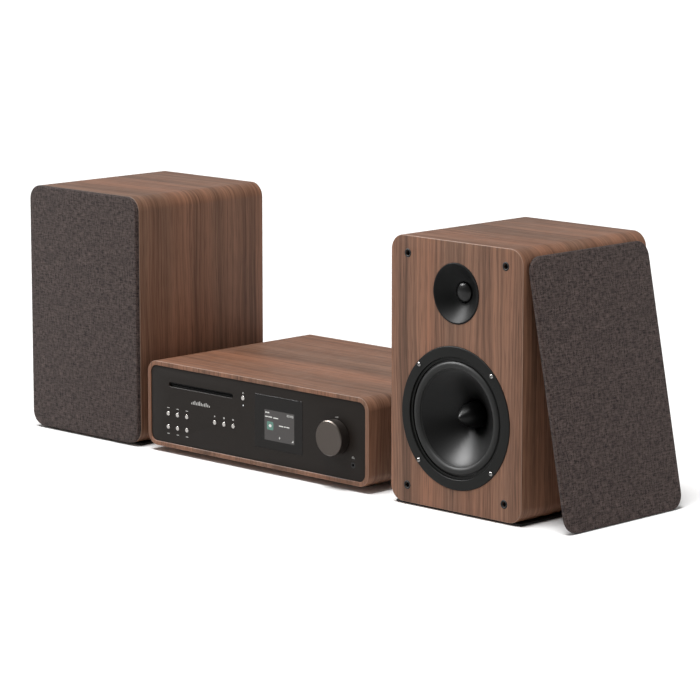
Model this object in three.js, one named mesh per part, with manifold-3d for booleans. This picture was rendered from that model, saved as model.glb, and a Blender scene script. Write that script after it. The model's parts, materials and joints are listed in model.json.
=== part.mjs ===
// Mini hifi system: a CD receiver with a wooden sleeve and two two-way bookshelf loudspeakers.
// The left speaker wears its cloth grille, the right one has its grille leaning on its side.
// Millimetres, +X to the right along the fronts, +Y from front to back, +Z up.
import * as THREE from 'three';
import { mergeVertices } from 'three/addons/utils/BufferGeometryUtils.js';
import Module from 'manifold-3d';

const wasm = await Module();
wasm.setup();

// Driving dimensions

const jointGap = 0.3; // between pieces that touch
const guideGap = 0.3; // round a piece that slides or turns in a hole
const roundSides = 20; // sides of the large round pieces
const smallSides = 10; // sides of the small round pieces
const cornerSteps = 4; // straight steps in a rounded corner

const speaker = {
  width: 218, height: 336, depth: 230, cornerRadius: 20, wall: 15, baffle: 18,
  padHeight: 3, padInset: 5,
  peg: { fromSide: 28, fromEnd: 22, radius: 3, length: 4, socketDepth: 12 },
};

const woofer = {
  height: 117, flangeRadius: 89.5, flangeProud: 1, flangeDepth: 2.7, flangeInner: 76.5,
  step: 2.2, rimStep: 1, bodyWall: 2.5, shell: 3, straight: 18, neckRadius: 48, neckLength: 6, depth: 66,
  coilRadius: 19, coilClear: 1.5, coilLength: 34, coilEndClear: 6,
  landDepth: 4.8, landInner: 68, rubber: 1.2, rollOuter: 71, rollInner: 61, rollHeight: 4.2, lipSet: 0.4,
  coneRadius: 60, coneSet: 4, coneDepth: 34, coneSkin: 0.8, coneBend: 1.12,
  magnetRadius: 45, magnetLength: 26, plugRadius: 16.5, plugTip: 6, plugShoulder: 34, plugBend: 0.8,
  windowWidth: 38, windowFront: 26, windowBack: 54,
};

const tweeter = {
  height: 272, flangeRadius: 37.7, flangeProud: 0.6, flangeDepth: 2.7, lip: 2, seat: 3.7, bowlBack: 20,
  throatRadius: 13.6, throatDepth: 15, bowlBend: 1.4, canRadius: 28, canDepth: 40, coilSpace: 6,
  domeClear: 0.5, domeRise: 5.5, domeSkin: 0.9, domeSkirt: 3,
};

const port = { height: 262, bore: 22, wall: 3, length: 70, flare: 2.5, flareLength: 12 };
const terminal = {
  height: 74, width: 76, tall: 52, depth: 26, wall: 3, cornerRadius: 8,
  postRadius: 5, postSpacing: 19, socketRadius: 2.2, postSet: 4,
};
const crossover = {
  width: 90, tall: 70, board: 1.6, coilRadius: 16, coilDepth: 14, coilDrop: 14,
  canRadius: 6, canLength: 45, canRise: 20.5,
};

const grille = {
  thickness: 6, cloth: 1, standOff: 0.5, wooferClear: 1.5, tweeterClear: 7.3, lean: 11.1, frontSet: 6,
};

const receiver = {
  width: 414, height: 115, depth: 293, cornerRadius: 17, wall: 6, footHeight: 8,
  fasciaSet: 1, fascia: 4, rearSet: 1, sheet: 1.2, floorSet: 3,
  foot: { radius: 14, fromSide: 48, fromFront: 42, chamfer: 1.5 },
};

const slot = { fromLeft: 103, height: 86, width: 124, tall: 6 };
const button = {
  radius: 3, proud: 0.8, length: 6.7, flangeRadius: 4.4, flangeSet: 1.1, flange: 1.2,
  gridLeft: 39.6, gridPitch: 18.2, gridRows: [46, 28], gridColumns: 3,
  rowLeft: 130.3, rowPitch: 17.7, rowHeight: 46, rowCount: 3,
  ejectLeft: 184.5, ejectHeight: 86,
};
const light = { left: 184.5, height: 76.3, radius: 1, length: 7 };
const screenPane = { left: 206.5, width: 88.5, bottom: 25.5, tall: 70, depth: 2.5 };
const screenModule = { margin: 4, depth: 6, set: 1.5 };
const knob = {
  left: 357, height: 59, radius: 23, proud: 16, chamfer: 1.2, backGap: 1.4, travel: 0.7,
  hollowRadius: 15, hollowDepth: 9, shaftRadius: 3, shaftEnd: 13, shaftClear: 1.2,
};
const encoder = {
  set: 0.5, bodyWall: 2.3, back: 3, rotorSet: 0.8, rotorWall: 1.6, rotorLength: 6.4,
};
const jack = { left: 386, height: 26.2, radius: 4, bore: 1.8, length: 15, wall: 1 };

const loader = {
  sideWall: 8, backWall: 20, front: 8, floor: 22, lid: 8, discSpace: 12, discClear: 6, discDepth: 142,
  discCentre: 70, pocketWidth: 60, pocketDepth: 84, pocketAhead: 18, pocketFloor: 4,
};
const roller = { radius: 4, length: 104, set: 9, pinch: 1, clear: 1 };
const turntable = {
  drop: 1, radius: 14, plate: 3, hubRadius: 7.3, hubHeight: 2, shaftRadius: 2.5, shaftLength: 9,
};
const sled = { drop: 3, width: 34, depth: 15, tall: 8, fromCentre: 18, lensRadius: 3.5, lensHeight: 1 };
const mainBoard = { left: 190, front: 60, width: 190, depth: 150, board: 1.6, clear: 6 };
const heatSink = {
  left: 20, front: 90, depth: 40, base: 5, finCount: 8, finPitch: 9.5, finWidth: 3, finHeight: 30,
};
const capacitor = { left: 120, front: 105, pitch: 32, radius: 11, tall: 28, count: 2 };
const powerSupply = { left: 34, front: 190, width: 130, depth: 84, board: 1.6, clear: 6 };
const transformer = {
  coreWidth: 52, coreDepth: 26, coreTall: 40, windingWidth: 31.2, windingDepth: 41.6, windingSet: 6,
};

const inlet = {
  left: 46, height: 44, width: 26, tall: 15, depth: 20, wall: 2.5,
  pinRadius: 1.2, pinSpacing: 8.6, pinSet: 4,
};
const sockets = {
  left: 250, height: 60, width: 120, tall: 36, depth: 16, wall: 3, lowRow: -6, highRow: 8,
  clamp: { left: 12, radius: 2.2, pitch: 16, count: 4 },
  line: { left: 76, radius: 4.2, bore: 1.7, pitch: 18, count: 2, length: 6 },
  aerial: { left: 109, radius: 4.7, bore: 1, length: 9 },
};

const layout = { speakerGapLeft: 17.5, speakerGapRight: 44, leftSet: 7.5, receiverSet: 4.5 };

const bite = 0.5; // how far a piece reaches into the one that it is joined to
const past = 1; // how far a cutting tool reaches past the face that it opens
const speakerSides = ['left', 'right'];

// Materials

const finish = (color, roughness, metalness = 0) =>
  new THREE.MeshStandardMaterial({ color, roughness, metalness });
const walnut = () => finish(0x86675a, 0.55);
const anthracite = () => finish(0x383532, 0.45, 0.1);
const blackPlastic = () => finish(0x1c1c1d, 0.5);
const blackGloss = () => finish(0x0a0a0b, 0.12);
const blackRubber = () => finish(0x1d1c1b, 0.8);
const darkMetal = () => finish(0x3a3b3a, 0.45, 0.6);
const zincSteel = () => finish(0x9fa19f, 0.4, 0.9);
const satinKnob = () => finish(0x7c766f, 0.35, 0.8);
const silverButton = () => finish(0xc9c7c2, 0.35, 0.3);
const greenBoard = () => finish(0x1f4d33, 0.6);
const ferrite = () => finish(0x2b2a29, 0.7);
const clothGrey = () => finish(0x4b4341, 0.95);
const fibreBoard = () => finish(0x2a2624, 0.8);
const paleLight = () => finish(0xd8e0e6, 0.2);

// Shapes

// Turns a closed geometry into a solid that can be cut and joined, with its faces pointing out.
function solid(geometry) {
  const bare = geometry.clone();
  bare.deleteAttribute('normal');
  bare.deleteAttribute('uv');
  const merged = mergeVertices(bare, 1e-4);
  const points = merged.attributes.position.array;
  const index = merged.index.array;
  const triangles = [];
  let volume = 0;
  for (let i = 0; i < index.length; i += 3) {
    const corner = [index[i], index[i + 1], index[i + 2]];
    if (corner[0] === corner[1] || corner[1] === corner[2] || corner[2] === corner[0]) continue;
    const [a, b, c] = corner.map((v) => new THREE.Vector3().fromArray(points, 3 * v));
    volume += a.dot(b.cross(c));
    triangles.push(corner);
  }
  const facing = volume < 0 ? triangles.map(([a, b, c]) => [a, c, b]) : triangles;
  const vertProperties = new Float32Array(points);
  const triVerts = new Uint32Array(facing.flat());
  return new wasm.Manifold(new wasm.Mesh({ numProp: 3, vertProperties, triVerts }));
}

// A named sub-part made from a solid.
function part(name, body, material) {
  const { vertProperties, triVerts } = body.getMesh();
  const geometry = new THREE.BufferGeometry();
  geometry.setAttribute('position', new THREE.BufferAttribute(new Float32Array(vertProperties), 3));
  geometry.setIndex(new THREE.BufferAttribute(new Uint32Array(triVerts), 1));
  geometry.computeVertexNormals();
  const mesh = new THREE.Mesh(geometry, material);
  mesh.name = name;
  return mesh;
}

const cut = (body, ...tools) => tools.reduce((left, tool) => left.subtract(tool), body);
const join = (body, ...others) => others.reduce((left, other) => left.add(other), body);

// A rounded rectangle whose sides lie `inset` inside a width by height one.
function outline(width, height, radius, inset = 0) {
  const [low, right, top] = [inset, width - inset, height - inset];
  const r = Math.max(radius - inset, 1);
  const shape = new THREE.Shape();
  shape.moveTo(low + r, low);
  shape.absarc(right - r, low + r, r, -Math.PI / 2, 0);
  shape.absarc(right - r, top - r, r, 0, Math.PI / 2);
  shape.absarc(low + r, top - r, r, Math.PI / 2, Math.PI);
  shape.absarc(low + r, low + r, r, Math.PI, 1.5 * Math.PI);
  return shape;
}

// An outline drawn in X and Z, made solid from y = front to y = back.
function slab(shape, front, back) {
  const geometry = new THREE.ExtrudeGeometry(shape, {
    depth: back - front, bevelEnabled: false, curveSegments: cornerSteps,
  });
  geometry.rotateX(Math.PI / 2);
  geometry.translate(0, back, 0);
  return solid(geometry);
}

// A box between two corners.
function block([x0, y0, z0], [x1, y1, z1]) {
  const geometry = new THREE.BoxGeometry(x1 - x0, y1 - y0, z1 - z0);
  geometry.translate((x0 + x1) / 2, (y0 + y1) / 2, (z0 + z1) / 2);
  return solid(geometry);
}

// Round rods along each axis, from one end to the other.
function rodY(x, z, radius, front, back, sides = smallSides) {
  const geometry = new THREE.CylinderGeometry(radius, radius, back - front, sides);
  geometry.translate(x, (front + back) / 2, z);
  return solid(geometry);
}

function rodX(y, z, radius, left, right, sides = smallSides) {
  const geometry = new THREE.CylinderGeometry(radius, radius, right - left, sides);
  geometry.rotateZ(Math.PI / 2);
  geometry.translate((left + right) / 2, y, z);
  return solid(geometry);
}

function rodZ(x, y, radius, bottom, top, sides = smallSides, topRadius = radius) {
  const geometry = new THREE.CylinderGeometry(topRadius, radius, top - bottom, sides);
  geometry.rotateX(Math.PI / 2);
  geometry.translate(x, y, (bottom + top) / 2);
  return solid(geometry);
}

// A profile of [radius, depth] points turned round an axis along Y at x, z.
function turned(x, z, profile, sides = roundSides) {
  const points = profile.map(([radius, depth]) => new THREE.Vector2(radius, depth));
  if (profile[0][0] > 0) points.push(points[0].clone());
  const geometry = new THREE.LatheGeometry(points, sides);
  geometry.translate(x, 0, z);
  return solid(geometry);
}

// Points of a curve, from t = 0 to t = 1.
const curve = (steps, point) => Array.from({ length: steps + 1 }, (_, i) => point(i / steps));

// Loudspeaker

// Places in one speaker: x from its left side, y from the baffle's front, z from the floor.
const middle = speaker.width / 2;
const basketRadius = woofer.flangeInner - woofer.rimStep;
const basketInner = basketRadius - woofer.bodyWall;
const coilHole = woofer.coilRadius + woofer.coilClear;
const coilEnd = woofer.coneSet + woofer.coneDepth + woofer.coilLength;
const bowlRadius = tweeter.flangeRadius - tweeter.seat;
const domeRadius = tweeter.throatRadius - tweeter.domeClear;
const wooferZ = speaker.padHeight + woofer.height;
const tweeterZ = speaker.padHeight + tweeter.height;
const portZ = speaker.padHeight + port.height;
const terminalZ = speaker.padHeight + terminal.height;
const pegPlaces = [
  [speaker.peg.fromSide, speaker.peg.fromEnd],
  [speaker.width - speaker.peg.fromSide, speaker.peg.fromEnd],
  [speaker.peg.fromSide, speaker.height - speaker.peg.fromEnd],
  [speaker.width - speaker.peg.fromSide, speaker.height - speaker.peg.fromEnd],
];

const speakerOutline = (inset = 0) =>
  outline(speaker.width, speaker.height, speaker.cornerRadius, inset);
const raised = (body) => body.translate([0, 0, speaker.padHeight]);

function terminalOutline(inset) {
  return outline(terminal.width, terminal.tall, terminal.cornerRadius, inset);
}

function terminalSlab(inset, front, back) {
  return slab(terminalOutline(inset), front, back).translate([
    middle - terminal.width / 2, 0, terminalZ - terminal.tall / 2,
  ]);
}

function cabinet() {
  const back = speaker.depth;
  const shell = slab(speakerOutline(), speaker.baffle + jointGap, back);
  const hollow = slab(speakerOutline(speaker.wall), 0, back - speaker.wall);
  const [inside, outside] = [back - speaker.wall - past, back + past];
  const portRadius = port.bore + port.wall + jointGap;
  const portHole = rodY(middle, portZ, portRadius, inside, outside, roundSides);
  const terminalHole = terminalSlab(-jointGap, inside, outside);
  return cut(raised(cut(shell, hollow)), portHole, terminalHole);
}

function baffle() {
  const board = raised(slab(speakerOutline(), 0, speaker.baffle));
  const hole = (z, radius, depth) => rodY(middle, z, radius + jointGap, -past, depth, roundSides);
  const pegSockets = pegPlaces.map(([x, z]) => rodY(
    x, z + speaker.padHeight, speaker.peg.radius + guideGap, -past, speaker.peg.socketDepth,
  ));
  return cut(
    board,
    hole(wooferZ, woofer.flangeRadius, woofer.flangeDepth + jointGap),
    hole(wooferZ, basketRadius, speaker.baffle + past),
    hole(tweeterZ, tweeter.flangeRadius, tweeter.flangeDepth + jointGap),
    hole(tweeterZ, bowlRadius, speaker.baffle + past),
    ...pegSockets,
  );
}

function basePad() {
  const inset = speaker.padInset;
  return block(
    [inset, inset, 0],
    [speaker.width - inset, speaker.depth - inset, speaker.padHeight - jointGap],
  );
}

// The cast basket: flange, land for the surround, conical body with four windows, rear ring.
function basket() {
  const w = woofer;
  const stepDepth = w.step - w.flangeProud;
  const neckFront = w.depth - w.neckLength;
  const neckInner = w.neckRadius - w.shell;
  const body = turned(middle, wooferZ, [
    [w.flangeInner, -w.flangeProud], [w.flangeRadius, -w.flangeProud],
    [w.flangeRadius, w.flangeDepth], [basketRadius, w.flangeDepth],
    [basketRadius, w.straight], [w.neckRadius, neckFront], [w.neckRadius, w.depth],
    [coilHole, w.depth], [coilHole, w.depth - w.shell], [neckInner, w.depth - w.shell],
    [neckInner, neckFront], [w.landInner, w.straight],
    [w.landInner, w.landDepth], [basketInner, w.landDepth],
    [basketInner, stepDepth], [w.flangeInner, stepDepth],
  ]);
  const windows = [[basketRadius + past, w.windowWidth / 2], [w.windowWidth / 2, basketRadius + past]];
  return cut(body, ...windows.map(([halfWidth, halfHeight]) => block(
    [middle - halfWidth, w.windowFront, wooferZ - halfHeight],
    [middle + halfWidth, w.windowBack, wooferZ + halfHeight],
  )));
}

// The rubber half roll between the basket's land and the cone's edge.
function surround() {
  const w = woofer;
  const centre = (w.rollOuter + w.rollInner) / 2;
  const half = (w.rollOuter - w.rollInner) / 2;
  const base = w.landDepth - jointGap - w.rubber;
  const arc = (grow) => curve(4, (t) => [
    centre + (half - grow) * Math.cos(Math.PI * t),
    base + grow - w.rollHeight * Math.sin(Math.PI * t),
  ]);
  const outer = basketInner - jointGap;
  const inner = w.coneRadius + jointGap;
  return turned(middle, wooferZ, [
    [outer, base], ...arc(0), [inner, base + w.lipSet],
    [inner, base + w.rubber], ...arc(w.rubber).reverse(), [outer, base + w.rubber],
  ]);
}

// The moving cone with the voice coil's former behind it.
function cone() {
  const w = woofer;
  const flare = (offset, inner) => curve(4, (t) => [
    THREE.MathUtils.lerp(w.coneRadius, inner, t),
    w.coneSet + offset + w.coneDepth * Math.pow(t, w.coneBend),
  ]);
  const former = w.coilRadius - w.coneSkin;
  return turned(middle, wooferZ, [
    ...flare(0, former), [former, coilEnd],
    [w.coilRadius, coilEnd], ...flare(w.coneSkin, w.coilRadius).reverse(),
  ]);
}

// Magnet, pole piece and the pointed plug that stands still in the middle of the cone.
function motor() {
  const w = woofer;
  const front = w.depth + jointGap;
  const back = front + w.magnetLength;
  const grooveEnd = coilEnd + w.coilEndClear;
  const ogive = curve(4, (t) => [
    w.plugRadius * Math.sin((Math.PI / 2) * Math.pow(t, w.plugBend)),
    THREE.MathUtils.lerp(w.plugTip, w.plugShoulder, t),
  ]);
  return turned(middle, wooferZ, [
    ...ogive, [w.plugRadius, grooveEnd], [coilHole, grooveEnd],
    [coilHole, front], [w.magnetRadius, front], [w.magnetRadius, back], [0, back],
  ]);
}

// Tweeter: round faceplate with a bowl-shaped waveguide, and the magnet can behind it.
function tweeterBody() {
  const t = tweeter;
  const mouth = t.flangeRadius - t.lip;
  const bowl = curve(4, (s) => [
    THREE.MathUtils.lerp(t.throatRadius, mouth, s),
    -t.flangeProud + (t.throatDepth + t.flangeProud) * (1 - Math.pow(s, t.bowlBend)),
  ]);
  const coilBack = t.throatDepth + t.coilSpace;
  return turned(middle, tweeterZ, [
    [0, coilBack], [t.throatRadius, coilBack], ...bowl,
    [t.flangeRadius, -t.flangeProud], [t.flangeRadius, t.flangeDepth], [bowlRadius, t.flangeDepth],
    [bowlRadius, t.bowlBack], [t.canRadius, t.bowlBack], [t.canRadius, t.canDepth], [0, t.canDepth],
  ]);
}

function tweeterDome() {
  const t = tweeter;
  const cap = (radius, set) => curve(3, (s) => [
    radius * Math.sin((Math.PI / 2) * s),
    t.throatDepth + set - t.domeRise * Math.cos((Math.PI / 2) * s),
  ]);
  const inner = domeRadius - t.domeSkin;
  const skirtEnd = t.throatDepth + t.domeSkirt;
  return turned(middle, tweeterZ, [
    ...cap(domeRadius, 0), [domeRadius, skirtEnd],
    [inner, skirtEnd], ...cap(inner, t.domeSkin).reverse(),
  ]);
}

function portTube() {
  const back = speaker.depth;
  const outer = port.bore + port.wall;
  const mouth = curve(2, (t) => [port.bore + port.flare * t * t, back - port.flareLength * (1 - t)]);
  return turned(middle, portZ, [
    [outer, back - port.length], [port.bore, back - port.length], ...mouth, [outer, back],
  ]);
}

// Moulded cup with two plain 4 mm sockets on posts.
function terminalCup() {
  const back = speaker.depth;
  const floor = back - terminal.depth + terminal.wall;
  const postEnd = back - terminal.postSet;
  const cup = terminalSlab(0, back - terminal.depth, back);
  const hollow = terminalSlab(terminal.wall, floor, back + past);
  const places = [-1, 1].map((side) => middle + (side * terminal.postSpacing) / 2);
  const posts = places.map((x) => rodY(x, terminalZ, terminal.postRadius, floor - bite, postEnd));
  const holes = places.map((x) => rodY(x, terminalZ, terminal.socketRadius, floor + bite, postEnd + past));
  return cut(join(cut(cup, hollow), ...posts), ...holes);
}

// Crossover board behind the cup, with its two coils and a capacitor.
function crossoverBoard() {
  const c = crossover;
  const back = speaker.depth - terminal.depth - jointGap;
  const front = back - c.board;
  const board = block(
    [middle - c.width / 2, front, terminalZ - c.tall / 2],
    [middle + c.width / 2, back, terminalZ + c.tall / 2],
  );
  const coils = [-1, 1].map((side) => rodY(
    middle + side * c.width / 4, terminalZ - c.coilDrop, c.coilRadius, front - c.coilDepth, front + bite,
  ));
  const can = rodX(
    front + bite - c.canRadius, terminalZ + c.canRise, c.canRadius,
    middle - c.canLength / 2, middle + c.canLength / 2,
  );
  return join(board, ...coils, can);
}

// Routed grille frame, in grille places: y from the cloth's front to the pegs' side.
function grilleFrame() {
  const inset = grille.cloth + jointGap;
  const front = grille.cloth + jointGap;
  const board = slab(speakerOutline(inset), front, grille.thickness);
  const opening = (height, radius) => rodY(
    middle, height, radius, -past, grille.thickness + past, roundSides,
  );
  const wooferOpening = opening(woofer.height, woofer.flangeRadius + grille.wooferClear);
  const tweeterOpening = opening(tweeter.height, tweeter.flangeRadius + grille.tweeterClear);
  const pegs = pegPlaces.map(([x, z]) => rodY(
    x, z, speaker.peg.radius, grille.thickness - bite, grille.thickness + speaker.peg.length,
  ));
  return join(cut(board, wooferOpening, tweeterOpening), ...pegs);
}

// Cloth stretched over the frame's front, as a plain sheet.
function grilleCloth() {
  return slab(speakerOutline(), 0, grille.cloth);
}

function grilleAssembly(side) {
  const group = new THREE.Group();
  group.add(
    part(`${side}_grille_frame`, grilleFrame(), fibreBoard()),
    part(`${side}_grille_cloth`, grilleCloth(), clothGrey()),
  );
  return group;
}

function loudspeaker(side) {
  const group = new THREE.Group();
  group.add(
    part(`${side}_cabinet`, cabinet(), walnut()),
    part(`${side}_baffle`, baffle(), walnut()),
    part(`${side}_base_pad`, basePad(), blackRubber()),
    part(`${side}_woofer_basket`, basket(), darkMetal()),
    part(`${side}_woofer_surround`, surround(), blackRubber()),
    part(`${side}_woofer_cone`, cone(), blackGloss()),
    part(`${side}_woofer_motor`, motor(), ferrite()),
    part(`${side}_tweeter`, tweeterBody(), darkMetal()),
    part(`${side}_tweeter_dome`, tweeterDome(), blackGloss()),
    part(`${side}_port_tube`, portTube(), blackPlastic()),
    part(`${side}_terminal_cup`, terminalCup(), blackPlastic()),
    part(`${side}_crossover`, crossoverBoard(), greenBoard()),
  );
  return group;
}

// CD receiver

// Places in the receiver: x from its left side, y from its front, z from the floor.
const fasciaFront = receiver.fasciaSet;
const fasciaBack = receiver.fasciaSet + receiver.fascia;
const above = (height) => receiver.footHeight + height;
const caseOutline = (inset = 0) => outline(receiver.width, receiver.height, receiver.cornerRadius, inset);
const lifted = (body) => body.translate([0, 0, receiver.footHeight]);
const innerFloor = above(receiver.wall) + jointGap;
const rearBack = receiver.depth - receiver.rearSet;
const rearFront = rearBack - receiver.sheet;

const buttonPlaces = [];
button.gridRows.forEach((height, row) => {
  for (let column = 0; column < button.gridColumns; column += 1) {
    const name = `preset_button_${row * button.gridColumns + column + 1}`;
    buttonPlaces.push({ name, x: button.gridLeft + column * button.gridPitch, height });
  }
});
for (let i = 0; i < button.rowCount; i += 1) {
  const name = `transport_button_${i + 1}`;
  buttonPlaces.push({ name, x: button.rowLeft + i * button.rowPitch, height: button.rowHeight });
}
buttonPlaces.push({ name: 'eject_button', x: button.ejectLeft, height: button.ejectHeight });

function caseSleeve() {
  const outer = slab(caseOutline(), 0, receiver.depth);
  const inner = slab(caseOutline(receiver.wall), -past, receiver.depth + past);
  return lifted(cut(outer, inner));
}

function fasciaPlate() {
  const plate = lifted(slab(caseOutline(receiver.wall + jointGap), fasciaFront, fasciaBack));
  const [front, back] = [fasciaFront - past, fasciaBack + past];
  const slotHole = block(
    [slot.fromLeft - slot.width / 2, front, above(slot.height - slot.tall / 2)],
    [slot.fromLeft + slot.width / 2, back, above(slot.height + slot.tall / 2)],
  );
  const paneHole = block(
    [screenPane.left, front, above(screenPane.bottom)],
    [screenPane.left + screenPane.width, back, above(screenPane.bottom + screenPane.tall)],
  );
  const round = (x, height, radius) => rodY(x, above(height), radius, front, back);
  return cut(
    plate, slotHole, paneHole,
    ...buttonPlaces.map(({ x, height }) => round(x, height, button.radius + guideGap)),
    round(light.left, light.height, light.radius + jointGap),
    round(knob.left, knob.height, knob.shaftRadius + knob.shaftClear),
    round(jack.left, jack.height, jack.radius + jointGap),
  );
}

// Steel floor and back wall, folded from one sheet.
function chassis() {
  const side = receiver.wall + receiver.cornerRadius;
  const floor = block(
    [side, fasciaBack + receiver.floorSet, innerFloor],
    [receiver.width - side, rearBack, innerFloor + receiver.sheet],
  );
  const rear = lifted(slab(caseOutline(receiver.wall + jointGap), rearFront, rearBack));
  const opening = (item) => block(
    [item.left - jointGap, rearFront - past, above(item.height - item.tall / 2) - jointGap],
    [item.left + item.width + jointGap, rearBack + past, above(item.height + item.tall / 2) + jointGap],
  );
  return cut(join(floor, rear), opening(inlet), opening(sockets));
}

function foot(x, y) {
  const { radius, chamfer } = receiver.foot;
  const top = receiver.footHeight - jointGap;
  return join(
    rodZ(x, y, radius - chamfer, 0, chamfer, smallSides, radius),
    rodZ(x, y, radius, chamfer, top),
  );
}

function pushButton({ x, height }) {
  const z = above(height);
  const front = fasciaFront - button.proud;
  const flangeFront = fasciaBack + button.flangeSet - guideGap;
  return join(
    rodY(x, z, button.radius, front, front + button.length),
    rodY(x, z, button.flangeRadius, flangeFront, flangeFront + button.flange),
  );
}

function lightPipe() {
  return rodY(light.left, above(light.height), light.radius, fasciaFront, fasciaFront + light.length);
}

function displayWindow() {
  const { left, width, bottom, tall, depth } = screenPane;
  return block(
    [left + jointGap, fasciaFront, above(bottom) + jointGap],
    [left + width - jointGap, fasciaFront + depth, above(bottom + tall) - jointGap],
  );
}

function displayModule() {
  const { left, width, bottom, tall } = screenPane;
  const { margin, depth, set } = screenModule;
  return block(
    [left + margin, fasciaBack + set, above(bottom + margin)],
    [left + width - margin, fasciaBack + set + depth, above(bottom + tall - margin)],
  );
}

// Knob with a hollow back and its own round shaft.
function volumeKnob() {
  const front = fasciaFront - knob.proud;
  const back = fasciaFront - knob.backGap;
  return turned(knob.left, above(knob.height), [
    [0, front], [knob.radius - knob.chamfer, front], [knob.radius, front + knob.chamfer],
    [knob.radius, back], [knob.hollowRadius, back], [knob.hollowRadius, back - knob.hollowDepth],
    [knob.shaftRadius, back - knob.hollowDepth], [knob.shaftRadius, knob.shaftEnd], [0, knob.shaftEnd],
  ]);
}

const encoderFront = fasciaBack + encoder.set;
const rotorInner = knob.shaftRadius + guideGap;
const rotorOuter = rotorInner + encoder.rotorWall;
const pocketRadius = rotorOuter + guideGap;

function encoderRotor() {
  const front = encoderFront + encoder.rotorSet;
  const back = front + encoder.rotorLength;
  return turned(knob.left, above(knob.height), [
    [rotorInner, front], [rotorOuter, front], [rotorOuter, back], [rotorInner, back],
  ], smallSides);
}

function encoderBody() {
  const [x, z] = [knob.left, above(knob.height)];
  const half = pocketRadius + encoder.bodyWall;
  const pocketEnd = knob.shaftEnd + knob.travel + guideGap;
  const housing = block(
    [x - half, encoderFront, z - half],
    [x + half, pocketEnd + encoder.back, z + half],
  );
  return cut(housing, rodY(x, z, pocketRadius, encoderFront - past, pocketEnd));
}

function headphoneJack() {
  const tip = fasciaFront + jack.length;
  const boreEnd = tip - jack.wall;
  return turned(jack.left, above(jack.height), [
    [0, boreEnd], [jack.bore, boreEnd], [jack.bore, fasciaFront], [jack.radius, fasciaFront],
    [jack.radius, tip], [0, tip],
  ], smallSides);
}

// Slot loader: a tray with a flat space for the disc and a pocket for the drive below it.
const discZ = above(slot.height);
const discWidth = slot.width + loader.discClear;
const discY = loader.front + loader.discCentre;
const rollerY = loader.front + roller.set;
const spaceFloor = discZ - loader.discSpace / 2;
const rollerZ = discZ - roller.radius - roller.pinch;

function discLoader() {
  const x = slot.fromLeft;
  const [bottom, spaceTop] = [spaceFloor - loader.floor, spaceFloor + loader.discSpace];
  const spaceBack = loader.front + loader.discDepth;
  const half = discWidth / 2 + loader.sideWall;
  const body = block(
    [x - half, loader.front, bottom],
    [x + half, spaceBack + loader.backWall, spaceTop + loader.lid],
  );
  const discSpace = block(
    [x - discWidth / 2, loader.front - past, spaceFloor],
    [x + discWidth / 2, spaceBack, spaceTop],
  );
  const pocketStart = discY - loader.pocketAhead;
  const pocket = block(
    [x - loader.pocketWidth / 2, pocketStart, bottom + loader.pocketFloor],
    [x + loader.pocketWidth / 2, pocketStart + loader.pocketDepth, discZ],
  );
  const reach = roller.radius + roller.clear;
  const rollerHalf = roller.length / 2 + roller.clear;
  const rollerPocket = block(
    [x - rollerHalf, rollerY - reach, rollerZ - reach],
    [x + rollerHalf, rollerY + reach, discZ],
  );
  return cut(body, discSpace, pocket, rollerPocket);
}

function feedRoller() {
  const half = roller.length / 2;
  return rodX(rollerY, rollerZ, roller.radius, slot.fromLeft - half, slot.fromLeft + half);
}

function discTurntable() {
  const t = turntable;
  const top = discZ - t.drop;
  return join(
    rodZ(slot.fromLeft, discY, t.radius, top - t.plate, top, roundSides),
    rodZ(slot.fromLeft, discY, t.hubRadius, top - bite, top + t.hubHeight, roundSides),
    rodZ(slot.fromLeft, discY, t.shaftRadius, top - t.shaftLength, top - bite),
  );
}

function laserSled() {
  const top = discZ - sled.drop;
  const bodyTop = top - sled.lensHeight;
  const front = discY + sled.fromCentre;
  const body = block(
    [slot.fromLeft - sled.width / 2, front, bodyTop - sled.tall],
    [slot.fromLeft + sled.width / 2, front + sled.depth, bodyTop],
  );
  const lens = rodZ(slot.fromLeft, front + sled.depth / 2, sled.lensRadius, bodyTop - bite, top);
  return join(body, lens);
}

// Main board with a finned heat sink and two large capacitors.
function mainElectronics() {
  const m = mainBoard;
  const z = innerFloor + receiver.sheet + m.clear;
  const top = z + m.board;
  const board = block([m.left, m.front, z], [m.left + m.width, m.front + m.depth, top]);
  const h = heatSink;
  const [sinkLeft, sinkFront] = [m.left + h.left, m.front + h.front];
  const sinkBack = sinkFront + h.depth;
  const sinkWidth = (h.finCount - 1) * h.finPitch + h.finWidth;
  const sinkBase = block([sinkLeft, sinkFront, top - bite], [sinkLeft + sinkWidth, sinkBack, top + h.base]);
  const fins = Array.from({ length: h.finCount }, (_, i) => sinkLeft + i * h.finPitch).map((x) => block(
    [x, sinkFront, top + h.base - bite], [x + h.finWidth, sinkBack, top + h.finHeight],
  ));
  const cans = Array.from({ length: capacitor.count }, (_, i) => rodZ(
    m.left + capacitor.left + i * capacitor.pitch, m.front + capacitor.front,
    capacitor.radius, top - bite, top + capacitor.tall,
  ));
  return join(board, sinkBase, ...fins, ...cans);
}

// Mains supply board with the transformer's core and winding.
function mainsSupply() {
  const p = powerSupply;
  const z = innerFloor + receiver.sheet + p.clear;
  const top = z + p.board;
  const board = block([p.left, p.front, z], [p.left + p.width, p.front + p.depth, top]);
  const t = transformer;
  const centred = (width, depth, low, high) => block(
    [p.left + (p.width - width) / 2, p.front + (p.depth - depth) / 2, low],
    [p.left + (p.width + width) / 2, p.front + (p.depth + depth) / 2, high],
  );
  const core = centred(t.coreWidth, t.coreDepth, top - bite, top + t.coreTall);
  const winding = centred(
    t.windingWidth, t.windingDepth, top + t.windingSet, top + t.coreTall - t.windingSet,
  );
  return join(board, core, winding);
}

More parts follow.
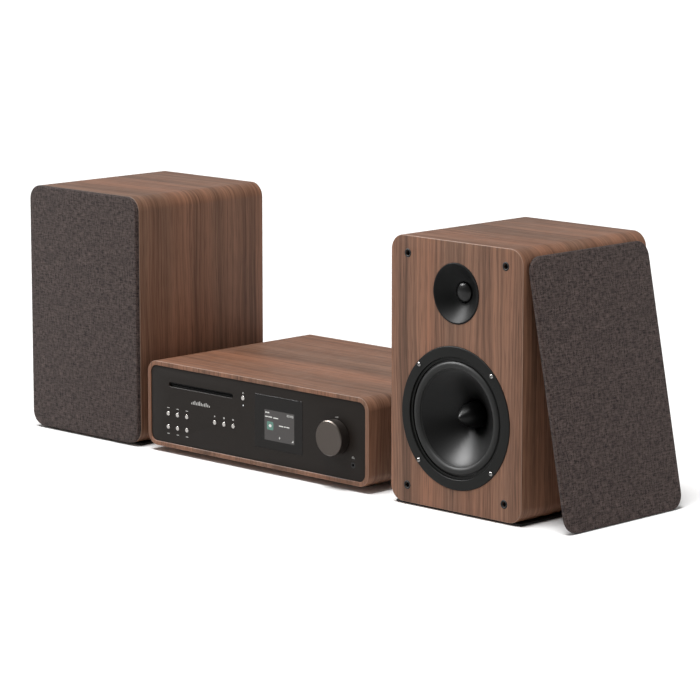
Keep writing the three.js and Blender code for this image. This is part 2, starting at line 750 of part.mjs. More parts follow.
// Two-pin mains inlet.
function mainsInlet() {
  const { left, width, tall, depth, wall, pinRadius, pinSpacing, pinSet } = inlet;
  const [low, high] = [above(inlet.height - tall / 2), above(inlet.height + tall / 2)];
  const back = receiver.depth;
  const recessFront = back - depth + wall;
  const centre = left + width / 2;
  const shell = block([left, back - depth, low], [left + width, back, high]);
  const recess = block(
    [left + wall, recessFront, low + wall], [left + width - wall, back + past, high - wall],
  );
  const pins = [-1, 1].map((side) => rodY(
    centre + (side * pinSpacing) / 2, above(inlet.height), pinRadius, recessFront - bite, back - pinSet,
  ));
  return join(cut(shell, recess), ...pins);
}

// Rear socket block: four speaker sockets, two line sockets and a screw-on aerial socket.
function socketBlock() {
  const s = sockets;
  const [low, high] = [above(s.height - s.tall / 2), above(s.height + s.tall / 2)];
  const back = receiver.depth;
  const boreFront = back - s.depth + s.wall;
  const body = block([s.left, back - s.depth, low], [s.left + s.width, back, high]);
  const lowZ = above(s.height + s.lowRow);
  const highZ = above(s.height + s.highRow);
  const row = ({ left, pitch, count }) => Array.from({ length: count }, (_, i) => s.left + left + i * pitch);
  const clamps = row(s.clamp).map((x) => rodY(x, lowZ, s.clamp.radius, boreFront, back + past));
  const lines = row(s.line).map((x) => rodY(x, lowZ, s.line.radius, back - bite, back + s.line.length));
  const lineBores = row(s.line).map((x) => rodY(
    x, lowZ, s.line.bore, boreFront, back + s.line.length + past,
  ));
  const aerialX = s.left + s.aerial.left;
  const aerialEnd = back + s.aerial.length;
  const aerial = rodY(aerialX, highZ, s.aerial.radius, back - bite, aerialEnd);
  const aerialBore = rodY(aerialX, highZ, s.aerial.bore, boreFront, aerialEnd + past);
  return cut(join(body, ...lines, aerial), ...clamps, ...lineBores, aerialBore);
}

function cdReceiver() {
  const group = new THREE.Group();
  const { fromSide, fromFront } = receiver.foot;
  const [right, back] = [receiver.width - fromSide, receiver.depth - fromFront];
  group.add(
    part('case_sleeve', caseSleeve(), walnut()),
    part('fascia', fasciaPlate(), anthracite()),
    part('chassis', chassis(), zincSteel()),
    part('foot_front_left', foot(fromSide, fromFront), blackRubber()),
    part('foot_front_right', foot(right, fromFront), blackRubber()),
    part('foot_back_left', foot(fromSide, back), blackRubber()),
    part('foot_back_right', foot(right, back), blackRubber()),
    part('display_window', displayWindow(), blackGloss()),
    part('display_module', displayModule(), greenBoard()),
    part('main_board', mainElectronics(), greenBoard()),
    part('power_supply', mainsSupply(), greenBoard()),
    part('disc_loader', discLoader(), blackPlastic()),
    part('feed_roller', feedRoller(), blackRubber()),
    part('disc_turntable', discTurntable(), blackPlastic()),
    part('laser_sled', laserSled(), blackPlastic()),
    part('status_light', lightPipe(), paleLight()),
    part('encoder_body', encoderBody(), zincSteel()),
    part('encoder_rotor', encoderRotor(), zincSteel()),
    part('volume_knob', volumeKnob(), satinKnob()),
    part('headphone_jack', headphoneJack(), blackPlastic()),
    part('mains_inlet', mainsInlet(), blackPlastic()),
    part('rear_sockets', socketBlock(), blackPlastic()),
    ...buttonPlaces.map((place) => part(place.name, pushButton(place), silverButton())),
  );
  return group;
}

// Assembly

// The loose grille stands on its lower back edge, and its two upper pegs touch the cabinet.
function leanGrille(group, cabinetSide) {
  const lean = THREE.MathUtils.degToRad(grille.lean);
  const { length, radius, fromEnd } = speaker.peg;
  const reach = (speaker.height - fromEnd + radius) * Math.sin(lean) + length * Math.cos(lean);
  const backEdge = cabinetSide + jointGap + reach;
  group.rotation.set(0, -lean, Math.PI / 2, 'YZX');
  group.position.set(
    backEdge + grille.thickness * Math.cos(lean), grille.frontSet, grille.thickness * Math.sin(lean),
  );
}

const system = new THREE.Group();
const receiverLeft = speaker.width + layout.speakerGapLeft;
const rightSpeakerLeft = receiverLeft + receiver.width + layout.speakerGapRight;
const [leftSpeaker, rightSpeaker] = speakerSides.map(loudspeaker);
const [fittedGrille, looseGrille] = speakerSides.map(grilleAssembly);
const receiverGroup = cdReceiver();

leftSpeaker.position.set(0, layout.leftSet, 0);
fittedGrille.position.set(0, -grille.thickness - grille.standOff, speaker.padHeight);
leftSpeaker.add(fittedGrille);
receiverGroup.position.set(receiverLeft, layout.receiverSet, 0);
rightSpeaker.position.set(rightSpeakerLeft, 0, 0);
leanGrille(looseGrille, rightSpeakerLeft + speaker.width);
system.add(leftSpeaker, receiverGroup, rightSpeaker, looseGrille);

// The origin is under the middle of the whole set, on the floor.
const extent = new THREE.Box3().setFromObject(system, true);
const centre = extent.getCenter(new THREE.Vector3());
system.position.set(-centre.x, -centre.y, -extent.min.z);

const group = new THREE.Group();
group.add(system);

export default group;
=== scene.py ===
import json
import math

import bmesh
import bpy
import numpy as np
from mathutils import Matrix, Vector

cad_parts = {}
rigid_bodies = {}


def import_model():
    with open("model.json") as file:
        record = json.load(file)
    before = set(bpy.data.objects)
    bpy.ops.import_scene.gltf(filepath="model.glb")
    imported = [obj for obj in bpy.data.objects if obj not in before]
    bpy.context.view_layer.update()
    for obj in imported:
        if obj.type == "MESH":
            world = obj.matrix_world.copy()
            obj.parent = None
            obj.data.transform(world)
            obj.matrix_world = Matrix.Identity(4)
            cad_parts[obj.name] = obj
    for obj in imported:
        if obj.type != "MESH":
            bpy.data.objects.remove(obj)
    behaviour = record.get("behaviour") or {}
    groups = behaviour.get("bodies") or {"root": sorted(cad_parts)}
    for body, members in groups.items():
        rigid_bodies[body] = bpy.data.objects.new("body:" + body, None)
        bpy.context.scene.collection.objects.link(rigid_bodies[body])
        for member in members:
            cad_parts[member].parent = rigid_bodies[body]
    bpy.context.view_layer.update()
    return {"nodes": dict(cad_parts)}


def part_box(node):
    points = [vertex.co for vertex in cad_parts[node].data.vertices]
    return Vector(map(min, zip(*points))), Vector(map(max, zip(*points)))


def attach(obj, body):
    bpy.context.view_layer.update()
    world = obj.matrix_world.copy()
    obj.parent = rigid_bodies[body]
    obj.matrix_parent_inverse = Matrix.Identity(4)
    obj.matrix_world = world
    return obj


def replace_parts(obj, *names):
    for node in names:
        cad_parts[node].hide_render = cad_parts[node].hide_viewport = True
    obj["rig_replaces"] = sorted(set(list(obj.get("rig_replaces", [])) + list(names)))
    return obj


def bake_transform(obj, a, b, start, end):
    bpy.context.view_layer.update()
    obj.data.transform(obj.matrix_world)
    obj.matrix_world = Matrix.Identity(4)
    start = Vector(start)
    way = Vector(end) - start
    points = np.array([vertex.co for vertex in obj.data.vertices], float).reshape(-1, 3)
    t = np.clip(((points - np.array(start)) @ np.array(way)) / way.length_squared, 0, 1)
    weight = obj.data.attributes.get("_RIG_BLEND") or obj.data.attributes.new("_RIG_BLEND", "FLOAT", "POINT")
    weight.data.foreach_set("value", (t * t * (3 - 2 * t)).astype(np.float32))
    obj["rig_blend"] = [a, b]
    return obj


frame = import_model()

# Lengths in the size dictionaries are millimetres; mm turns them into metres.
mm = 0.001
sides = ("left", "right")

# Camera, floor and light

view = {
    "lens": 173.05, "sensor": 36, "turn": 44.545, "pitch": 9.913, "distance": 4.32633,
    "target": (0.06921, -0.08605, 0.168),
}
stage = {"radius": 60, "sides": 64, "colour": (0.94, 0.94, 0.94), "rough": 0.9, "shine": 0.1}
light = {
    "sky": (1.0, 0.99, 0.975), "skyPower": 0.34, "backdrop": 1.1,
    "sunFrom": (-0.02, -0.22, 1.0), "sunPower": 3.15, "sunSpread": 22,
    "boxFrom": (-1.6, -3.2, 2.1), "boxAim": (0.2, 0, 0.12), "boxSize": 1.5, "boxPower": 2,
    "gleamFrom": (-2.1, -1.2, 2.43), "gleamAim": (0.3, -0.15, 0.12), "gleamSize": 1.7, "gleamPower": 300,
}


def makeCamera():
    turn, pitch = math.radians(view["turn"]), math.radians(view["pitch"])
    back = Vector((math.sin(turn) * math.cos(pitch), -math.cos(turn) * math.cos(pitch), math.sin(pitch)))
    data = bpy.data.cameras.new("camera")
    data.lens, data.sensor_width, data.clip_end = view["lens"], view["sensor"], 500
    camera = bpy.data.objects.new("camera", data)
    camera.location = Vector(view["target"]) + back * view["distance"]
    camera.rotation_mode = "QUATERNION"
    camera.rotation_quaternion = (-back).to_track_quat("-Z", "Y")
    bpy.context.scene.collection.objects.link(camera)
    bpy.context.scene.camera = camera


def makeLight(name, kind, start, aim, **facts):
    data = bpy.data.lights.new(name, kind)
    for fact, value in facts.items():
        setattr(data, fact, value)
    lamp = bpy.data.objects.new(name, data)
    lamp.location = start
    lamp.rotation_euler = (Vector(aim) - Vector(start)).to_track_quat("-Z", "Y").to_euler()
    bpy.context.scene.collection.objects.link(lamp)
    return lamp


def makeStage():
    floor = meshObject("floor", *disc(stage["radius"], stage["sides"]))
    mat, tree, skin = newFinish("floorPaint")
    skin.inputs["Base Color"].default_value = (*stage["colour"], 1)
    skin.inputs["Roughness"].default_value = stage["rough"]
    skin.inputs["Specular IOR Level"].default_value = stage["shine"]
    floor.data.materials.append(mat)
    world = bpy.data.worlds.new("softSky")
    world.use_nodes = True
    nodes, links = world.node_tree.nodes, world.node_tree.links
    sky, path, mix = nodes["Background"], nodes.new("ShaderNodeLightPath"), nodes.new("ShaderNodeMix")
    sky.inputs["Color"].default_value = (*light["sky"], 1)
    mix.inputs["A"].default_value = light["skyPower"]
    mix.inputs["B"].default_value = light["backdrop"]
    links.new(path.outputs["Is Camera Ray"], mix.inputs["Factor"])
    links.new(mix.outputs["Result"], sky.inputs["Strength"])
    bpy.context.scene.world = world
    bpy.context.scene.view_settings.view_transform = "Standard"
    makeLight("sun", "SUN", light["sunFrom"], (0, 0, 0), energy=light["sunPower"],
              angle=math.radians(light["sunSpread"]))
    makeLight("softBox", "AREA", light["boxFrom"], light["boxAim"], energy=light["boxPower"],
              size=light["boxSize"])
    gleam = makeLight("gleam", "AREA", light["gleamFrom"], light["gleamAim"], energy=light["gleamPower"],
                      size=light["gleamSize"])
    gleam.visible_diffuse = False


# Meshes

def meshObject(name, points, faces, scale=1.0):
    mesh = bpy.data.meshes.new(name)
    mesh.from_pydata([Vector(p) * scale for p in points], [], faces)
    mesh.update()
    made = bpy.data.objects.new(name, mesh)
    bpy.context.scene.collection.objects.link(made)
    return made


def tidyMesh(piece, merge=1e-6):
    work = bmesh.new()
    work.from_mesh(piece.data)
    bmesh.ops.remove_doubles(work, verts=work.verts, dist=merge)
    bmesh.ops.dissolve_degenerate(work, edges=work.edges, dist=merge)
    bmesh.ops.recalc_face_normals(work, faces=work.faces)
    work.to_mesh(piece.data)
    work.free()
    return piece


# The piece as it looks with its modifiers, as a plain mesh again.
def settled(piece):
    bpy.context.view_layer.update()
    graph = bpy.context.evaluated_depsgraph_get()
    mesh = bpy.data.meshes.new_from_object(piece.evaluated_get(graph), depsgraph=graph)
    piece.modifiers.clear()
    old, piece.data = piece.data, mesh
    mesh.name = piece.name
    if old.users == 0:
        bpy.data.meshes.remove(old)
    return piece


def disc(radius, count):
    ring = [(radius * math.cos(a), radius * math.sin(a), 0)
            for a in np.linspace(0, 2 * math.pi, count + 1)[:-1]]
    return ring, [tuple(range(count))]


# A rounded rectangle as (x, z) points; inset moves its sides inwards.
def roundedOutline(width, height, radius, inset=0.0, steps=14):
    r = max(radius - inset, 0.6)
    low, right, top = inset, width - inset, height - inset
    points = []
    for cx, cz, start in ((right - r, low + r, -90), (right - r, top - r, 0), (low + r, top - r, 90),
                          (low + r, low + r, 180)):
        for i in range(steps + 1):
            a = math.radians(start + 90 * i / steps)
            points.append((cx + r * math.cos(a), cz + r * math.sin(a)))
    return points


def circle(x, z, radius, count=72):
    return [(x + radius * math.sin(a), z + radius * math.cos(a))
            for a in np.linspace(0, 2 * math.pi, count + 1)[:-1]]


# Rings of (x, z) points at given depths, joined into a solid with capped ends.
def loft(name, rings):
    count = len(rings[0][0])
    points = [(x, y, z) for ring, y in rings for x, z in ring]
    faces = []
    for i in range(len(rings) - 1):
        a, b = i * count, (i + 1) * count
        for j in range(count):
            k = (j + 1) % count
            faces.append((a + j, a + k, b + k, b + j))
    last = (len(rings) - 1) * count
    faces += [tuple(range(count)), tuple(range(last + count - 1, last - 1, -1))]
    return tidyMesh(meshObject(name, points, faces, mm))


def slab(name, outline, front, back):
    return loft(name, [(outline, front), (outline, back)])


# A profile of (radius, depth) points turned round an axis along Y at x, z.
def turned(name, x, z, profile, sides=96):
    points, faces, rows = [], [], []
    for radius, depth in profile:
        if radius < 1e-6:
            rows.append([len(points)] * sides)
            points.append((x, depth, z))
        else:
            rows.append(list(range(len(points), len(points) + sides)))
            points += [(px, depth, pz) for px, pz in circle(x, z, radius, sides)]
    pairs = list(zip(rows, rows[1:]))
    if profile[0][0] > 1e-6:
        pairs.append((rows[-1], rows[0]))
    for a, b in pairs:
        for j in range(sides):
            k = (j + 1) % sides
            loop = list(dict.fromkeys((a[j], a[k], b[k], b[j])))
            if len(loop) > 2:
                faces.append(tuple(loop))
    return tidyMesh(meshObject(name, points, faces, mm), 1e-7)


def arcPoints(cr, cy, radius, start, end, steps):
    angles = np.radians(np.linspace(start, end, steps + 1))
    return [(cr + radius * math.cos(a), cy + radius * math.sin(a)) for a in angles]


def carved(piece, cutters):
    for cutter in cutters:
        bit = piece.modifiers.new("carve", "BOOLEAN")
        bit.object = cutter
        bit.operation = "DIFFERENCE"
        bit.solver = "EXACT"
    settled(piece)
    for cutter in cutters:
        bpy.data.objects.remove(cutter)
    return tidyMesh(piece, 2e-6)


def shade(piece, angle=40):
    piece.data.shade_smooth()
    piece.data.set_sharp_from_angle(angle=math.radians(angle))
    return piece


# Puts a piece built round its own zero into its place.
def put(piece, matrix):
    piece.data.transform(matrix)
    piece.data.update()
    return piece


def finished(piece, mat, body, nodes=()):
    piece.data.materials.clear()
    piece.data.materials.append(mat)
    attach(piece, body)
    if nodes:
        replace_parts(piece, *nodes)
    return piece


def joined(name, pieces):
    work = bmesh.new()
    for piece in pieces:
        work.from_mesh(piece.data)
    mesh = bpy.data.meshes.new(name)
    work.to_mesh(mesh)
    work.free()
    for piece in pieces:
        bpy.data.objects.remove(piece)
    made = bpy.data.objects.new(name, mesh)
    bpy.context.scene.collection.objects.link(made)
    return made


# Shader groups

# A group that reads a place and some numbers, and puts out numbers that change over the surface.
def newGroup(name, inputs, outputs):
    tree = bpy.data.node_groups.new(name, "ShaderNodeTree")
    tree.interface.new_socket("Place", in_out="INPUT", socket_type="NodeSocketVector")
    for label, value in inputs.items():
        made = tree.interface.new_socket(label, in_out="INPUT", socket_type="NodeSocketFloat")
        made.default_value = value
    for label in outputs:
        tree.interface.new_socket(label, in_out="OUTPUT", socket_type="NodeSocketFloat")
    return tree, tree.nodes.new("NodeGroupInput"), tree.nodes.new("NodeGroupOutput")


def maths(tree, operation, a, b=None, clamp=False):
    node = tree.nodes.new("ShaderNodeMath")
    node.operation, node.use_clamp = operation, clamp
    for socket, value in zip(node.inputs, (a, b)):
        if isinstance(value, (int, float)):
            socket.default_value = value
        elif value is not None:
            tree.links.new(value, socket)
    return node.outputs[0]


def plus(tree, a, b, clamp=False):
    return maths(tree, "ADD", a, b, clamp)


def minus(tree, a, b):
    return maths(tree, "SUBTRACT", a, b)


def times(tree, a, b, clamp=False):
    return maths(tree, "MULTIPLY", a, b, clamp)


def noise(tree, place, scale, detail=2.0, rough=0.5, distortion=0.0):
    node = tree.nodes.new("ShaderNodeTexNoise")
    tree.links.new(place, node.inputs["Vector"])
    for label, value in (("Scale", scale), ("Detail", detail), ("Roughness", rough),
                         ("Distortion", distortion)):
        if isinstance(value, (int, float)):
            node.inputs[label].default_value = value
        else:
            tree.links.new(value, node.inputs[label])
    return node.outputs["Fac"]


def ranged(tree, value, low, high, newLow=0.0, newHigh=1.0):
    node = tree.nodes.new("ShaderNodeMapRange")
    tree.links.new(value, node.inputs["Value"])
    for label, number in (("From Min", low), ("From Max", high), ("To Min", newLow), ("To Max", newHigh)):
        if isinstance(number, (int, float)):
            node.inputs[label].default_value = number
        else:
            tree.links.new(number, node.inputs[label])
    return node.outputs["Result"]


def blended(tree, factor, a, b, kind="MIX"):
    node = tree.nodes.new("ShaderNodeMix")
    node.data_type, node.blend_type = "RGBA", kind
    for socket, value in ((node.inputs[0], factor), (node.inputs[6], a), (node.inputs[7], b)):
        if isinstance(value, bpy.types.NodeSocket):
            tree.links.new(value, socket)
        elif isinstance(value, (int, float)):
            socket.default_value = value
        else:
            socket.default_value = (*value, 1)
    return node.outputs[2]


def stretched(tree, place, across):
    node = tree.nodes.new("ShaderNodeMapping")
    node.inputs["Scale"].default_value = across
    tree.links.new(place, node.inputs["Vector"])
    return node.outputs["Vector"]


# Thin dark lines where the growth rings end, at uneven distances.
def noiseLine(tree, place, scale):
    wide = noise(tree, stretched(tree, place, (0.012, 1, 1)), scale, 1, 0.5)
    line = maths(tree, "ABSOLUTE", minus(tree, wide, 0.5))
    return ranged(tree, line, 0.042, 0.0)


# Walnut veneer: growth rings, bands, streaks and short open pores along the first coordinate.
def veneerGroup():
    tree, start, end = newGroup("veneer", {"Ring Scale": 76.0, "Sway": 0.024, "Ring Depth": 0.38},
                                ("Tone", "Warmth", "Pores", "Height"))
    place = start.outputs["Place"]
    parts = tree.nodes.new("ShaderNodeSeparateXYZ")
    tree.links.new(place, parts.inputs[0])
    sway = noise(tree, stretched(tree, place, (3.0, 9, 1)), 1.0, 2, 0.5)
    sway = times(tree, minus(tree, sway, 0.5), start.outputs["Sway"])
    across = plus(tree, parts.outputs["Y"], sway)
    wavy = tree.nodes.new("ShaderNodeCombineXYZ")
    tree.links.new(parts.outputs["X"], wavy.inputs["X"])
    tree.links.new(across, wavy.inputs["Y"])
    bent = wavy.outputs[0]
    rings = noiseLine(tree, bent, start.outputs["Ring Scale"])
    bands = noise(tree, stretched(tree, bent, (1.2, 30, 1)), 1.0, 3, 0.6)
    broad = noise(tree, stretched(tree, bent, (0.8, 11, 1)), 1.0, 2, 0.5)
    streaks = noise(tree, stretched(tree, bent, (1.8, 260, 1)), 1.0, 3, 0.7)
    fibres = noise(tree, stretched(tree, bent, (26, 900, 1)), 1.0, 2, 0.6)
    pores = noise(tree, stretched(tree, bent, (24, 900, 1)), 1.0, 1, 0.5)
    bands = ranged(tree, bands, 0.36, 0.64)
    broad = ranged(tree, broad, 0.38, 0.62)
    streaks = ranged(tree, streaks, 0.34, 0.64)
    fibres = ranged(tree, fibres, 0.28, 0.72)
    pores = ranged(tree, pores, 0.58, 0.7)
    tone = plus(tree, times(tree, bands, 0.30), times(tree, streaks, 0.46))
    tone = plus(tree, tone, times(tree, fibres, 0.24))
    tone = times(tree, tone, minus(tree, 1.0, times(tree, rings, start.outputs["Ring Depth"])), True)
    tree.links.new(tone, end.inputs["Tone"])
    tree.links.new(broad, end.inputs["Warmth"])
    tree.links.new(pores, end.inputs["Pores"])
    rise = minus(tree, times(tree, fibres, 0.35), pores)
    tree.links.new(rise, end.inputs["Height"])
    return tree


# Fine speckle for moulded and painted skins, with slow unevenness in gloss.
def grainGroup():
    tree, start, end = newGroup("skinGrain", {
        "Fine Scale": 1800.0, "Slow Scale": 14.0, "Gloss Low": 0.4, "Gloss High": 0.5,
    }, ("Roughness", "Speck", "Height"))
    place = start.outputs["Place"]
    fine = noise(tree, place, start.outputs["Fine Scale"], 2, 0.6)
    slow = noise(tree, place, start.outputs["Slow Scale"], 3, 0.6, 0.4)
    mixed = plus(tree, times(tree, fine, 0.35), times(tree, slow, 0.65))
    rough = ranged(tree, mixed, 0.35, 0.65, start.outputs["Gloss Low"], start.outputs["Gloss High"])
    tree.links.new(rough, end.inputs["Roughness"])
    tree.links.new(ranged(tree, fine, 0.3, 0.7), end.inputs["Speck"])
    tree.links.new(fine, end.inputs["Height"])
    return tree


# A little dust on faces that look up.
def dustGroup():
    tree, start, end = newGroup("restingDust", {"Amount": 0.2}, ("Mask",))
    facing = tree.nodes.new("ShaderNodeNewGeometry")
    parts = tree.nodes.new("ShaderNodeSeparateXYZ")
    tree.links.new(facing.outputs["Normal"], parts.inputs[0])
    up = ranged(tree, parts.outputs["Z"], 0.6, 1.0)
    patch = ranged(tree, noise(tree, start.outputs["Place"], 60, 4, 0.65), 0.4, 0.75)
    mask = times(tree, times(tree, up, patch), start.outputs["Amount"], True)
    tree.links.new(mask, end.inputs["Mask"])
    return tree


# Two sets of threads over and under each other, with heathered light and dark yarn.
def weaveGroup():
    tree, start, end = newGroup("heatherWeave", {"Pitch": 0.0022}, ("Yarn", "Slub", "Height"))
    parts = tree.nodes.new("ShaderNodeSeparateXYZ")
    tree.links.new(start.outputs["Place"], parts.inputs[0])
    turns = maths(tree, "DIVIDE", 2 * math.pi, start.outputs["Pitch"])
    across = maths(tree, "SINE", times(tree, parts.outputs["X"], turns))
    along = maths(tree, "SINE", times(tree, parts.outputs["Y"], turns))
    over = ranged(tree, times(tree, across, along), -0.5, 0.5)
    place = start.outputs["Place"]
    weft = noise(tree, stretched(tree, place, (110, 480, 1)), 1.0, 2, 0.7)
    warp = noise(tree, stretched(tree, place, (480, 110, 1)), 1.0, 2, 0.7)
    weft, warp = ranged(tree, weft, 0.38, 0.62), ranged(tree, warp, 0.38, 0.62)
    yarn = plus(tree, times(tree, over, minus(tree, weft, warp)), warp, True)
    slub = ranged(tree, noise(tree, place, 45, 3, 0.6), 0.35, 0.65)
    crown = maths(tree, "ABSOLUTE", times(tree, across, along))
    tree.links.new(yarn, end.inputs["Yarn"])
    tree.links.new(slub, end.inputs["Slub"])
    tree.links.new(plus(tree, crown, times(tree, yarn, 0.8)), end.inputs["Height"])
    return tree


groups = {"veneer": veneerGroup(), "grain": grainGroup(), "dust": dustGroup(), "weave": weaveGroup()}


# Finishes

def newFinish(name):
    mat = bpy.data.materials.new(name)
    mat.use_nodes = True
    skin = mat.node_tree.nodes["Principled BSDF"]
    return mat, mat.node_tree, skin


def placed(tree, label, place, **values):
    node = tree.nodes.new("ShaderNodeGroup")
    node.node_tree = groups[label]
    tree.links.new(place, node.inputs["Place"])
    for name, value in values.items():
        node.inputs[name.replace("_", " ")].default_value = value
    return node.outputs


def objectPlace(tree):
    return tree.nodes.new("ShaderNodeTexCoord").outputs["Object"]


def mapPlace(tree, label):
    node = tree.nodes.new("ShaderNodeUVMap")
    node.uv_map = label
    return node.outputs["UV"]


def bumped(tree, skin, height, depth, strength=1.0):
    node = tree.nodes.new("ShaderNodeBump")
    node.inputs["Strength"].default_value = strength
    node.inputs["Distance"].default_value = depth * mm
    tree.links.new(height, node.inputs["Height"])
    tree.links.new(node.outputs["Normal"], skin.inputs["Normal"])


walnut = {
    "dark": (0.050, 0.0235, 0.0138), "light": (0.282, 0.150, 0.095), "warm": (0.310, 0.136, 0.077),
    "pore": (0.040, 0.019, 0.012), "poreShare": 0.5, "roughLow": 0.42, "roughHigh": 0.56, "poreDepth": 0.05,
    # The next two entries are a painted highlight: a light colour, and how strongly it is laid on the
    # rounded front edge, standing in for the light that edge catches.
    "paintedEdgeHighlight": (0.52, 0.36, 0.27), "paintedEdgeHighlightShare": 0.28,
}


def walnutFinish():
    mat, tree, skin = newFinish("walnutVeneer")
    veneer = placed(tree, "veneer", mapPlace(tree, "grain"))
    base = blended(tree, veneer["Tone"], walnut["dark"], walnut["light"])
    warm = times(tree, times(tree, veneer["Warmth"], veneer["Tone"]), 0.95)
    base = blended(tree, warm, base, walnut["warm"])
    poreMask = times(tree, veneer["Pores"], walnut["poreShare"])
    base = blended(tree, poreMask, base, walnut["pore"])
    dust = placed(tree, "dust", objectPlace(tree), Amount=0.04)
    base = blended(tree, dust["Mask"], base, (0.6, 0.58, 0.55))
    # Painted highlight: faces of the rounded front edge are mixed towards a light colour, standing in for
    # the light they catch.
    paintedEdgeHighlight = tree.nodes.new("ShaderNodeAttribute")
    paintedEdgeHighlight.attribute_name = "paintedEdgeHighlight"
    paintedEdgeHighlightMask = times(tree, paintedEdgeHighlight.outputs["Fac"], walnut["paintedEdgeHighlightShare"])
    base = blended(tree, paintedEdgeHighlightMask, base, walnut["paintedEdgeHighlight"])
    tree.links.new(base, skin.inputs["Base Color"])
    tree.links.new(ranged(tree, veneer["Tone"], 0, 1, walnut["roughHigh"], walnut["roughLow"]),
                   skin.inputs["Roughness"])
    skin.inputs["Specular IOR Level"].default_value = 0.2
    bumped(tree, skin, veneer["Height"], walnut["poreDepth"], 0.5)
    return mat


# One call makes every moulded, painted or metal finish.
def plainFinish(name, colour, rough, metal=0.0, fleck=0.12, fine=1800, depth=0.01, coat=0.0, dust=0.0,
                spread=0.05, slow=14.0, shine=0.5):
    mat, tree, skin = newFinish(name)
    place = objectPlace(tree)
    grain = placed(tree, "grain", place, Fine_Scale=float(fine), Slow_Scale=slow, Gloss_Low=rough - spread,
                   Gloss_High=rough + spread)
    darker = tuple(c * (1 - fleck) for c in colour)
    lighter = tuple(min(c * (1 + fleck), 1) for c in colour)
    base = blended(tree, grain["Speck"], darker, lighter)
    if dust:
        mask = placed(tree, "dust", place, Amount=dust)["Mask"]
        base = blended(tree, mask, base, (0.55, 0.54, 0.52))
    tree.links.new(base, skin.inputs["Base Color"])
    tree.links.new(grain["Roughness"], skin.inputs["Roughness"])
    skin.inputs["Metallic"].default_value = metal
    skin.inputs["Specular IOR Level"].default_value = shine
    skin.inputs["Coat Weight"].default_value = coat
    skin.inputs["Coat Roughness"].default_value = 0.04
    bumped(tree, skin, grain["Height"], depth, 0.6)
    return mat


cloth = {
    "dark": (0.006, 0.0042, 0.0038), "light": (0.124, 0.089, 0.081), "tint": (0.034, 0.0245, 0.0225),
    "depth": 0.3, "pitch": 0.0022,
}


def clothFinish():
    mat, tree, skin = newFinish("heatherCloth")
    weave = placed(tree, "weave", mapPlace(tree, "thread"), Pitch=cloth["pitch"])
    base = blended(tree, weave["Yarn"], cloth["dark"], cloth["light"])
    base = blended(tree, times(tree, weave["Slub"], 0.3), base, cloth["tint"])
    tree.links.new(base, skin.inputs["Base Color"])
    skin.inputs["Roughness"].default_value = 0.92
    skin.inputs["Specular IOR Level"].default_value = 0.1
    skin.inputs["Sheen Weight"].default_value = 0.08
    skin.inputs["Sheen Roughness"].default_value = 0.5
    bumped(tree, skin, weave["Height"], cloth["depth"], 0.8)
    return mat


def glowFinish(name, colour, power, rough=0.15):
    mat, tree, skin = newFinish(name)
    grain = placed(tree, "grain", objectPlace(tree), Fine_Scale=2500.0, Slow_Scale=90.0,
                   Gloss_Low=rough - 0.03, Gloss_High=rough + 0.03)
    tree.links.new(grain["Roughness"], skin.inputs["Roughness"])
    base = blended(tree, grain["Speck"], tuple(c * 0.9 for c in colour), colour)
    tree.links.new(base, skin.inputs["Base Color"])
    tree.links.new(base, skin.inputs["Emission Color"])
    skin.inputs["Emission Strength"].default_value = power
    return mat


